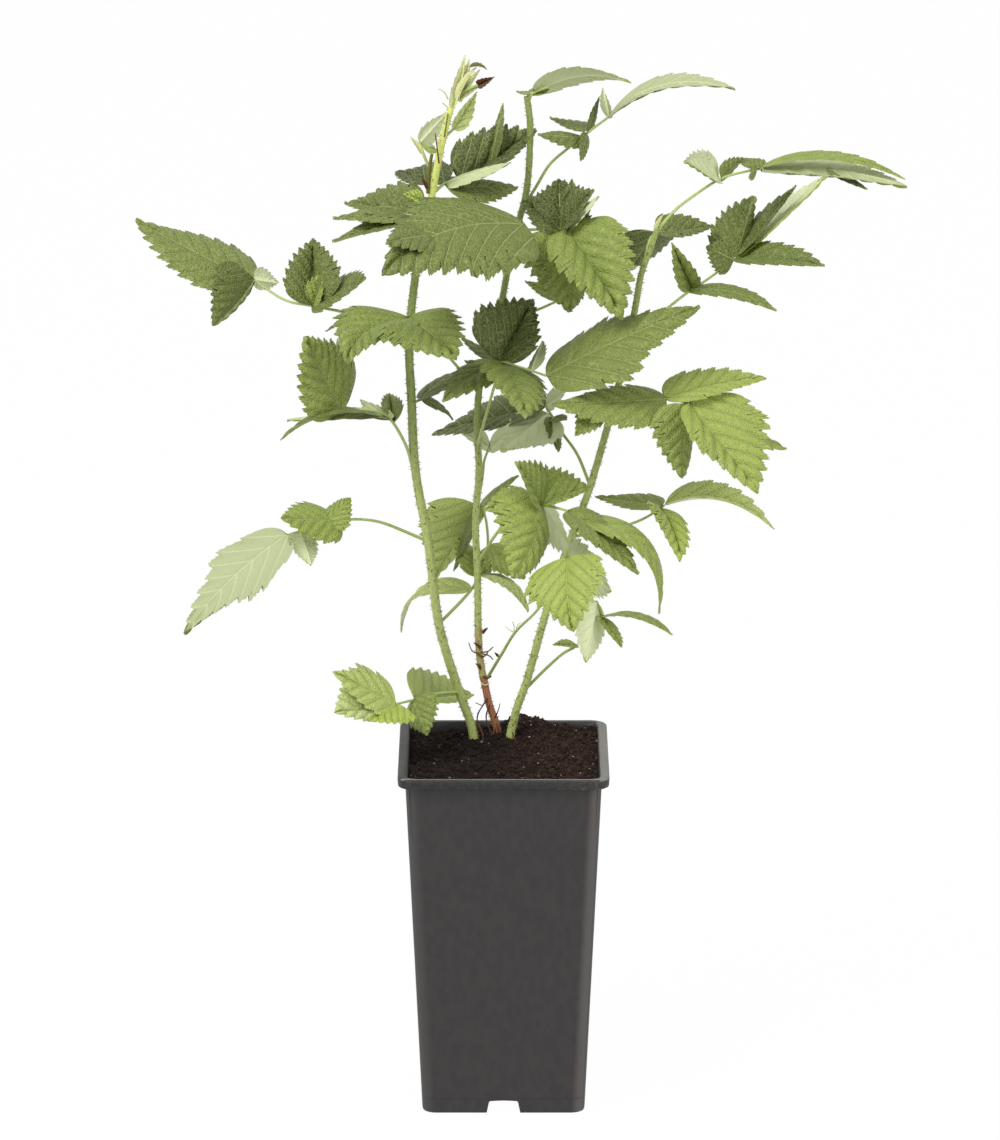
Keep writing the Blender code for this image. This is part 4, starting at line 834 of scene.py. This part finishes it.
def growTrim(node, materials, seed):
    if node not in trim:
        return []
    growers = []
    for index, (finish, plan) in enumerate(trim[node]["blades"]):
        finishes = dict(materials, top=materials[finish],
                        underside=materials["underside" if finish == "top" else finish])
        growers.append(growLeaflet(f"{node}Young{index}", plan, 0.5, seed + index * 2.3, finishes))
    for index, (finish, thick, points) in enumerate(trim[node]["strands"]):
        radii = [thick * (1 - strandStyle["taper"] * step / len(points)) * mm
                 for step in range(len(points))]
        curve = stemCurve(f"{node}Strand{index}", [placed(point) for point in points], radii)
        growers.append(growObject(f"{node}Strand{index}", curve, stalkTree, {
            "Sides": strandStyle["sides"], "Step": strandStyle["step"],
            "Knobs": strandStyle["knobs"], "Prickles": 0.0,
            "Prickle Length": 0.5 * mm, "Prickle Width": 0.05 * mm, "Seed": index,
            "Bark": materials[finish], "Prickle": materials["hair"]}))
    return growers


def trimMaterials():
    materials = {}
    for name, low, high, edge in (
            ("silky", (192, 200, 124), (226, 226, 176), (160, 150, 118)),
            ("rust", (58, 38, 26), (122, 78, 50), (48, 32, 22)),
            ("olive", (84, 86, 34), (120, 120, 52), (70, 60, 30)),
            ("silkyStem", (190, 200, 120), (220, 224, 160), (150, 150, 100)),
            ("dark", (40, 26, 20), (84, 58, 44), (30, 20, 16))):
        material, root, shader = openMaterial(name + "Young", Roughness=0.55, Specular_IOR_Level=0.3)
        spot = root.spot()
        across = root.stored("blade").split()[0]
        body = spot.noise(520.0, 3.0).smooth(0.35, 0.65).between(paint(*low), paint(*high))
        body = (abs(across).smooth(0.88, 1.0) * 0.8).between(body, paint(*edge))
        feed(shader, "Base Color", body)
        feed(shader, "Normal", bump(root, spot.noise(1300.0, 3.0), 0.4, 0.3 * mm))
        materials[name] = material
    return materials


def caneRadii(plan):
    low, middle, high = plan["radii"]
    radii = []
    for index in range(len(plan["route"])):
        along = index / (len(plan["route"]) - 1)
        first = along < 0.5
        start, end = (low, middle) if first else (middle, high)
        radius = start + (end - start) * (along * 2 if first else along * 2 - 1)
        above = max(0.0, plan["route"][index][2] - plan["tip"])
        radii.append(max(caneStyle["slimmest"], radius - above * caneStyle["slimming"]) * mm)
    return radii


def growCanes(materials):
    prickle = prickleMaterial()
    for number, (node, plan) in enumerate(canes.items()):
        curve = stemCurve(node, [placed(point) for point in plan["route"]], caneRadii(plan))
        growers = [growObject(node + "Stem", curve, stalkTree, {
            "Sides": caneStyle["sides"], "Step": caneStyle["step"], "Knobs": caneStyle["knobs"],
            "Prickles": caneStyle["prickles"], "Prickle Length": caneStyle["long"],
            "Prickle Width": caneStyle["wide"], "Seed": number + 40,
            "Bark": barkMaterial(node, plan), "Prickle": prickle})]
        cane = settle(growers + growTrim(node, materials, number * 11.0), node + "Grown")
        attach(cane, "root")
        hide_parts(node)


def barkMaterial(node, plan):
    # green and streaky, brighter towards a young top, with rusty bark up to the old height
    bark, root, shader = openMaterial(node + "Bark", Roughness=0.42)
    spot = root.spot()
    height = spot.split()[2]
    stretched = spot.scaled((1.0, 1.0, 0.12))
    streak = stretched.noise(520.0, 3.0)
    body = streak.smooth(0.35, 0.68).between(paint(150, 168, 76), paint(222, 230, 156))
    shaded = height.smooth(0.33, 0.41) * plan["shaded"]
    body = shaded.between(body, streak.smooth(0.35, 0.68).between(
        paint(84, 104, 38), paint(146, 162, 84)))
    young = height.smooth(plan["young"] * mm, (plan["young"] + 60) * mm)
    body = young.between(body, paint(214, 222, 122))
    slim = spot.scaled((1.0, 1.0, 0.6))
    flecks = root.add("ShaderNodeTexVoronoi", None, {"Vector": slim, "Scale": 560.0}, "Distance")
    flecks = flecks + flecks.output("Color").split()[0] * 0.45
    blotch = slim.noise(330.0, 2.0).smooth(0.5, 0.62)
    fleckShare = (flecks.smooth(0.46, 0.3) * 0.8).most(blotch * 0.55) * (1.0 - young * 0.75)
    body = fleckShare.between(body, paint(94, 108, 34))
    old = (height + (streak - 0.5) * 0.004).smooth((plan["old"] + 2) * mm, plan["old"] * mm)
    patchy = height.smooth((plan["old"] + 34) * mm, (plan["old"] + 28) * mm)
    old = old.most(patchy * slim.noise(190.0, 2.0).smooth(0.46, 0.56) * 0.85)
    rust = streak.smooth(0.3, 0.7).between(paint(120, 66, 44), paint(200, 134, 96))
    feed(shader, "Base Color", old.between(body, rust))
    feed(shader, "Normal", bump(root, streak + flecks.smooth(0.5, 0.3), 0.35, 0.3 * mm))
    return bark


def prickleMaterial():
    prickle, root, shader = openMaterial("canePrickle", Roughness=0.5)
    spot = root.spot()
    feed(shader, "Base Color", spot.noise(260.0).smooth(0.4, 0.6).between(
        paint(86, 80, 32), paint(146, 148, 70)))
    return prickle


# the moulded pot, in millimetres
pot = {
    "height": 204.0, "rimWide": 120.0, "rimDeep": 5.5, "wallTop": 111.3, "wallFoot": 93.3,
    "wall": 1.6, "corner": 8.0, "floor": 9.0, "notchFoot": 19.4, "notchTop": 16.6,
    "notchHigh": 7.6, "cornerSteps": 10, "cutReach": 70.0, "drain": 4.5, "drainApart": 26.0,
}


def squareRing(shape, half, corner, level, steps):
    # a closed ring of points: a square with rounded corners at one height
    ring = []
    for quarter in range(4):
        turn = quarter * math.pi / 2
        middle = Vector((half - corner, half - corner, 0.0))
        for step in range(steps + 1):
            angle = step / steps * math.pi / 2
            point = middle + Vector((math.cos(angle), math.sin(angle), 0.0)) * corner
            point = Matrix.Rotation(turn, 3, "Z") @ point + Vector((0.0, 0.0, level))
            ring.append(shape.verts.new(placed(point)))
    return ring


def potProfile():
    # half width, corner radius and height of each ring, from the floor's inside, over the rim
    # and down to the floor's underside
    high, rim, wall = pot["height"], pot["rimWide"] / 2, pot["wall"]
    corner, floor = pot["corner"], pot["floor"]

    def outer(level):
        flare = (pot["wallTop"] - pot["wallFoot"]) * level / (high - pot["rimDeep"])
        return (pot["wallFoot"] + flare) / 2

    def inner(level):
        return outer(level) - wall

    rows = [(inner(floor + 2) - 2.0, corner - 3.0, floor + 2.0),
            (inner(floor + 3) - 0.3, corner - 1.6, floor + 2.6)]
    rows += [(inner(level), corner - wall, level) for level in (20, 60, 100, 140, 180, high - 2.4)]
    skirt, under = high - pot["rimDeep"], high - 2.2
    rows += [(inner(high) + 0.4, corner - 1.4, high - 0.9),
             (inner(high) + 1.2, corner - 1.0, high - 0.2), (inner(high) + 2.0, corner - 0.6, high),
             (rim - 1.2, corner + 0.4, high), (rim - 0.35, corner + 1.0, high - 0.35),
             (rim, corner + 1.2, high - 1.1), (rim - 0.1, corner + 1.2, high - 3.0),
             (rim - 0.3, corner + 1.1, skirt + 0.3), (rim - 0.7, corner + 0.9, skirt),
             (rim - 1.5, corner + 0.5, skirt), (rim - 1.7, corner + 0.4, skirt + 0.5),
             (rim - 1.8, corner + 0.4, under)]
    rows += [(outer(under) + 0.6, corner + 0.2, under), (outer(under) + 0.1, corner, under - 0.6)]
    rows += [(outer(level), corner, level) for level in (high - 8, 180, 140, 100, 60, 30, 12, 8, 3)]
    rows += [(outer(1) - 0.05, corner - 0.1, 1.0), (outer(0) - 0.35, corner - 0.4, 0.15),
             (outer(0) - 0.7, corner - 0.6, 0.0), (inner(0) + 0.3, corner - wall + 0.2, 0.0),
             (inner(0), corner - wall, 0.4), (inner(floor) + 0.1, corner - wall, floor - 0.5),
             (inner(floor) - 0.6, corner - 2.2, floor)]
    return rows


def buildPot():
    shape = bmesh.new()
    rings = [squareRing(shape, half, corner, level, pot["cornerSteps"])
             for half, corner, level in potProfile()]
    for low, high in zip(rings, rings[1:]):
        for index in range(len(low)):
            after = (index + 1) % len(low)
            shape.faces.new((low[index], low[after], high[after], high[index]))
    shape.faces.new(rings[0])
    shape.faces.new(reversed(rings[-1]))
    bmesh.ops.recalc_face_normals(shape, faces=shape.faces)
    moulded = addObject("potMoulded", shapeMesh(shape, "potMoulded"))
    cutters = [notchCutter(turn) for turn in range(2)]
    places = (-pot["drainApart"], pot["drainApart"])
    cutters += [drainCutter(x, y) for x in places for y in places]
    for cutter in cutters:
        step = moulded.modifiers.new("cut", "BOOLEAN")
        step.operation = "DIFFERENCE"
        step.solver = "EXACT"
        step.object = cutter
    finished = settle([moulded], "potMoulded")
    for cutter in cutters:
        bpy.data.objects.remove(cutter, do_unlink=True)
    finished.data.shade_smooth()
    finished.data.set_sharp_from_angle(angle=math.radians(32))
    finished.data.materials.clear()
    finished.data.materials.append(potMaterial())
    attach(finished, "root")
    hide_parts("pot")


def notchCutter(turn):
    # a bar right through the foot, wider below than above, with a low arched top
    shape = bmesh.new()
    low, high, top = pot["notchFoot"] / 2, pot["notchTop"] / 2, pot["notchHigh"]
    outline = [(-low - 0.3, -1.5), (low + 0.3, -1.5), (high, top - 0.8), (high - 0.6, top - 0.2),
               (high / 2, top + 0.05), (0, top + 0.15), (-high / 2, top + 0.05),
               (-high + 0.6, top - 0.2), (-high, top - 0.8)]
    ends = []
    for y in (-pot["cutReach"], pot["cutReach"]):
        ring = [Matrix.Rotation(turn * math.pi / 2, 3, "Z") @ Vector((x, y, z)) for x, z in outline]
        ends.append([shape.verts.new(placed(point)) for point in ring])
    for index in range(len(outline)):
        after = (index + 1) % len(outline)
        shape.faces.new((ends[0][index], ends[0][after], ends[1][after], ends[1][index]))
    shape.faces.new(ends[0])
    shape.faces.new(reversed(ends[1]))
    bmesh.ops.recalc_face_normals(shape, faces=shape.faces)
    return addObject("notch", shapeMesh(shape, "notch"))


def drainCutter(x, y):
    shape = bmesh.new()
    bmesh.ops.create_cone(shape, cap_ends=True, segments=28, depth=12 * mm,
                          radius1=pot["drain"] * mm, radius2=pot["drain"] * mm)
    bmesh.ops.translate(shape, vec=placed((x, y, 10)), verts=shape.verts)
    return addObject("drain", shapeMesh(shape, "drain"))


def potMaterial():
    material, root, shader = openMaterial("potPlastic", Roughness=0.5, Specular_IOR_Level=0.45)
    spot = root.spot()
    x, y, z = spot.split()
    x = x - potPlace.x
    y = y - potPlace.y
    flow = spot.scaled((1.0, 1.0, 0.35))
    cloud = flow.noise(26.0, 4.0)
    grain = spot.noise(900.0, 2.0)
    body = cloud.smooth(0.35, 0.65).between(paint(39, 36, 36), paint(46, 43, 42))
    # the four turned corners catch more light than the flat sides
    spread = 0.5 * (pot["wallTop"] - pot["wallFoot"]) / (pot["height"] - pot["rimDeep"])
    half = z * spread + 0.5 * pot["wallFoot"] * mm
    inward = half - abs(x)
    bend = inward.smooth(0.0085, 0.0035) * inward.smooth(0.0008, 0.0022)
    body = (bend * (x.smooth(-0.02, 0.02) * 0.45 + 0.2)).between(body, paint(92, 88, 85))
    line = z.smooth(0.0098, 0.0091) * z.smooth(0.0078, 0.0085)
    body = (line * 0.35).between(body, paint(28, 27, 27))
    rim = z.smooth(0.1978, 0.1984)
    body = (rim * 0.9).between(body, (spot.noise(60.0, 3.0)).smooth(0.4, 0.65).between(
        paint(15, 15, 14), paint(36, 36, 33)))
    # painted highlight: a pale strip along the front of the lip top; the pale strip on the right side
    # is scuffing, and scuff noise breaks both up
    lip = z.smooth(0.2030, 0.2037)
    frontLipHighlight = (y * -1.0).smooth(0.0548, 0.0558) * (y * -1.0).smooth(0.0580, 0.0568) * 0.75
    right = x.smooth(0.0535, 0.0550) * 0.55
    scuffAndHighlight = spot.noise(170.0, 4.0).smooth(0.38, 0.6)
    body = (lip * (frontLipHighlight.most(right) * (scuffAndHighlight * 0.7 + 0.3)).most(0.02)).between(
        body, paint(168, 166, 158))
    dust = spot.noise(210.0, 4.0).smooth(0.52, 0.72) * rim * x.smooth(0.02, 0.05)
    body = (dust * 0.35).between(body, paint(150, 144, 132))
    feed(shader, "Base Color", body)
    feed(shader, "Roughness", cloud * 0.15 + 0.42)
    feed(shader, "Normal", bump(root, grain + cloud * 2.0, 0.25, 0.12 * mm))
    return material


# the bed: its level in millimetres, and how many pieces of each kind lie on a square metre
compost = {
    "level": 198.6, "steps": 110, "crumbs": 300000.0, "crumbSize": 1.1 * mm, "fibres": 9000.0,
    "grains": 5200.0,
}


def compostHeight(x, y):
    # highest behind the canes, fuller on the right than on the left
    heap = 11.0 * math.exp(-((x - 11) ** 2 / 230 + (y - 43) ** 2 / 300))
    right = 2.5 / (1 + math.exp(-(x - 6) / 6)) / (1 + math.exp(-(y - 6) / 9))
    feet = 2.5 * math.exp(-((x + 6) ** 2 / 500 + (y - 27) ** 2 / 90))
    lumps = 0.9 * math.sin(0.21 * x + 0.8) * math.sin(0.17 * y - 0.5)
    return compost["level"] + heap + right + feet + lumps + 0.5 * math.sin(0.41 * x + 0.33 * y)


def compostTree():
    root, given, identifiers = newTree("compost", {
        "Geometry": "Geometry", "Level": "Float", "Crumbs": "Float", "Crumb Size": "Float",
        "Fibres": "Float", "Grains": "Float", "Earth": "Material", "Crumb": "Material",
        "Fibre": "Material", "Grain": "Material"})
    spot = root.add("GeometryNodeInputPosition")
    level = spot.split()[2]
    top = (level - given.output("Level")).smooth(-0.012, -0.006)
    lift = (spot.noise(130.0, 3.0) - 0.5) * 0.008 + (spot.noise(420.0, 3.0) - 0.5) * 0.0055
    earth = root.add("GeometryNodeSetPosition", None, {
        "Geometry": given, "Offset": root.join(0.0, 0.0, lift * top)})
    earth = earth.finished(given.output("Earth"))
    flat = root.add("GeometryNodeInputNormal", None, None, "True Normal").split()[2].above(0.5)
    pieces = [earth]
    for label, amount, seed in (
            ("Crumb", "Crumbs", 2), ("Fibre", "Fibres", 8), ("Grain", "Grains", 4)):
        points = root.add("GeometryNodeDistributePointsOnFaces", None, {
            "Mesh": earth, "Selection": flat, "Density": given.output(amount), "Seed": seed})
        if label == "Fibre":
            seedling = fibreShape(root)
        else:
            seedling = root.add("GeometryNodeMeshIcoSphere", None, {
                "Radius": given.output("Crumb Size") * (1.0 if label == "Crumb" else 0.7),
                "Subdivisions": 1}, "Mesh")
        turn = root.add("FunctionNodeRandomValue", {"data_type": "FLOAT_VECTOR"}, {
            0: (-0.5, -0.5, 0.0) if label == "Fibre" else (0.0, 0.0, 0.0),
            1: (0.5, 0.5, 6.28), "Seed": seed + 1})
        size = root.add("FunctionNodeRandomValue", {"data_type": "FLOAT_VECTOR"}, {
            0: (0.35, 0.35, 0.3), 1: (1.5, 1.3, 1.1), "Seed": seed + 2})
        copies = root.add("GeometryNodeInstanceOnPoints", None, {
            "Points": points, "Instance": seedling, "Rotation": turn, "Scale": size})
        copies = root.add("GeometryNodeRealizeInstances", None, {0: copies})
        rough = root.add("GeometryNodeInputPosition").noise(900.0, 1.0, None, "Color") - 0.5
        if label != "Fibre":
            copies = root.add("GeometryNodeSetPosition", None, {
                "Geometry": copies, "Offset": rough * given.output("Crumb Size") * 0.9})
        pieces.append(copies.finished(given.output(label)))
    closeTree(root.add("GeometryNodeJoinGeometry", None, {0: pieces}))
    return root.tree, identifiers


def fibreShape(root):
    # one thin bent strand, lying along X
    line = root.add("GeometryNodeCurvePrimitiveLine", None, {
        "Start": (-0.004, 0.0, 0.0), "End": (0.004, 0.0, 0.0)})
    line = root.add("GeometryNodeResampleCurve", {"mode": "COUNT"}, {"Curve": line, "Count": 7})
    x = root.add("GeometryNodeInputPosition").split()[0]
    bend = root.join(0.0, (x * 520.0).sine() * 0.0009, (x * 330.0).maths("COSINE") * 0.0009)
    line = root.add("GeometryNodeSetPosition", None, {"Geometry": line, "Offset": bend})
    ring = root.add("GeometryNodeCurvePrimitiveCircle", None, {"Resolution": 3, "Radius": 0.00013})
    return root.add("GeometryNodeCurveToMesh", None, {
        "Curve": line, "Profile Curve": ring, "Fill Caps": True})


def buildCompost():
    inside = pot["wallTop"] / 2 - pot["wall"] - 0.05
    foot = pot["wallFoot"] / 2 - pot["wall"] - 0.4
    steps = compost["steps"]
    shape = bmesh.new()
    bmesh.ops.create_grid(shape, x_segments=steps, y_segments=steps, size=1.0)
    edge = [item for item in shape.edges if item.is_boundary]
    for corner in shape.verts:
        x, y = corner.co.x * inside, corner.co.y * inside
        away = max(abs(x), abs(y))
        pull = 1 - 0.06 * max(0.0, (math.hypot(x, y) / away if away else 1.0) - 1.25)
        corner.co = placed((x * pull, y * pull, compostHeight(x, y)))
    skirt = bmesh.ops.extrude_edge_only(shape, edges=edge)["geom"]
    ring = [item for item in skirt if isinstance(item, bmesh.types.BMVert)]
    for corner in ring:
        offset = (corner.co - potPlace) / mm
        corner.co = placed((offset.x * foot / inside, offset.y * foot / inside, pot["floor"] + 3.2))
    bmesh.ops.contextual_create(shape, geom=[item for item in shape.edges if item.is_boundary])
    bmesh.ops.recalc_face_normals(shape, faces=shape.faces)
    mesh = shapeMesh(shape, "compostBed")
    mesh.shade_smooth()
    earth, crumb, fibre, grain = compostMaterials()
    grower = growObject("compostBed", mesh, compostTree(), {
        "Level": placed((0, 0, compost["level"])).z, "Crumbs": compost["crumbs"],
        "Crumb Size": compost["crumbSize"], "Fibres": compost["fibres"],
        "Grains": compost["grains"], "Earth": earth, "Crumb": crumb, "Fibre": fibre,
        "Grain": grain})
    bed = settle([grower], "compostBed")
    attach(bed, "root")
    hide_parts("soil")


def compostMaterials():
    finishes = []
    for name, low, high, rough in (
            ("compostEarth", (10, 7, 6), (50, 34, 27), 0.95),
            ("compostCrumb", (12, 8, 7), (84, 58, 45), 0.9),
            ("compostFibre", (60, 36, 27), (130, 92, 72), 0.8),
            ("compostGrain", (150, 140, 124), (214, 208, 194), 0.7)):
        material, root, shader = openMaterial(name, Roughness=rough, Specular_IOR_Level=0.25)
        spot = root.spot()
        cloud = spot.noise(420.0, 3.0) * 0.6 + spot.noise(95.0, 3.0) * 0.4
        mottle = cloud.smooth(0.42, 0.62).between(paint(*low), paint(*high))
        # darker on the left and in the middle, lighter on the right
        drift = (spot.noise(40.0, 2.0) - 0.5) * 0.05
        darkerLeft = (spot.split()[0] - potPlace.x + drift).smooth(0.024, -0.008)
        feed(shader, "Base Color", (darkerLeft * 0.62).between(mottle, paint(14, 9, 8)))
        feed(shader, "Normal", bump(root, spot.noise(1400.0, 3.0), 0.6, 0.4 * mm))
        finishes.append(material)
    return finishes


# the floor, the light and the camera
stage = {
    "camera": {"aim": (-2, 0, 311), "away": 3.6, "pitch": 15.5, "lens": 199.9, "sensor": 36.0},
    "lamps": {                  # place and size in metres, power in watts
        "keyLamp": {"place": (-1.2, -1.3, 2.4), "size": 1.4, "power": 52.0},
        "fillLamp": {"place": (1.9, -1.2, 1.2), "size": 1.8, "power": 14.0}},
    "lampAim": (0, 0, 330),     # the middle of the plant, in millimetres
    "world": 0.6,               # strength of the light from all round
    "floor": {"reach": 12.0, "colour": (0.85, 0.85, 0.85, 1.0), "glow": 0.985},
}


def setStage():
    scene = bpy.context.scene
    scene.view_settings.view_transform = "Standard"
    aim, pitch = placed(stage["camera"]["aim"]), math.radians(stage["camera"]["pitch"])
    away = stage["camera"]["away"]
    camera = addObject("camera", bpy.data.cameras.new("camera"))
    camera.data.sensor_fit = "VERTICAL"
    camera.data.sensor_height = stage["camera"]["sensor"]
    camera.data.lens = stage["camera"]["lens"]
    camera.data.clip_end = 50.0
    camera.location = aim + Vector((0, -math.cos(pitch), math.sin(pitch))) * away
    camera.rotation_euler = (math.pi / 2 - pitch, 0, 0)
    scene.camera = camera
    for name, plan in stage["lamps"].items():
        addLamp(name, plan["place"], plan["size"], plan["power"])
    setWorld(scene)
    setFloor()


def addLamp(name, place, size, power):
    lamp = bpy.data.lights.new(name, "AREA")
    lamp.shape = "DISK"
    lamp.size = size
    lamp.energy = power
    item = addObject(name, lamp)
    item.location = place
    facing = placed(stage["lampAim"]) - item.location
    item.rotation_euler = facing.to_track_quat("-Z", "Y").to_euler()


def seenDirectly(root):
    # 1 for rays from the camera and for reflected and transmitted ones, which see plain white
    path = root.add("ShaderNodeLightPath", None, None, "Is Camera Ray")
    return path.most(path.output("Is Glossy Ray")).most(path.output("Is Transmission Ray"))


def setWorld(scene):
    world = bpy.data.worlds.new("studio")
    world.use_nodes = True
    scene.world = world
    root = Wire(world.node_tree)
    background = world.node_tree.nodes["Background"]
    background.inputs["Color"].default_value = (1, 1, 1, 1)
    strength = seenDirectly(root) * (1.0 - stage["world"]) + stage["world"]
    root.tree.links.new(strength.socket, background.inputs["Strength"])


def setFloor():
    shape = bmesh.new()
    bmesh.ops.create_grid(shape, x_segments=1, y_segments=1, size=stage["floor"]["reach"])
    floor = addObject("floor", shapeMesh(shape, "floor"))
    material, root, shader = openMaterial("floorPaper", Roughness=0.9)
    shader.inputs["Base Color"].default_value = stage["floor"]["colour"]
    glow = root.add("ShaderNodeEmission", None, {"Color": (1, 1, 1, 1), "Strength": 1.0})
    mix = root.add("ShaderNodeMixShader", None, {0: seenDirectly(root) * stage["floor"]["glow"]})
    output = root.tree.nodes["Material Output"]
    root.tree.links.new(shader.outputs[0], mix.socket.node.inputs[1])
    root.tree.links.new(glow.socket, mix.socket.node.inputs[2])
    root.tree.links.new(mix.socket, output.inputs["Surface"])
    floor.data.materials.append(material)


print("growing the leaves")
plantMaterials = {**leafMaterials(), **trimMaterials()}
growLeaves(plantMaterials)
print("growing the canes")
growCanes(plantMaterials)
print("moulding the pot")
buildPot()
print("filling in the compost")
buildCompost()
print("setting the stage")
setStage()
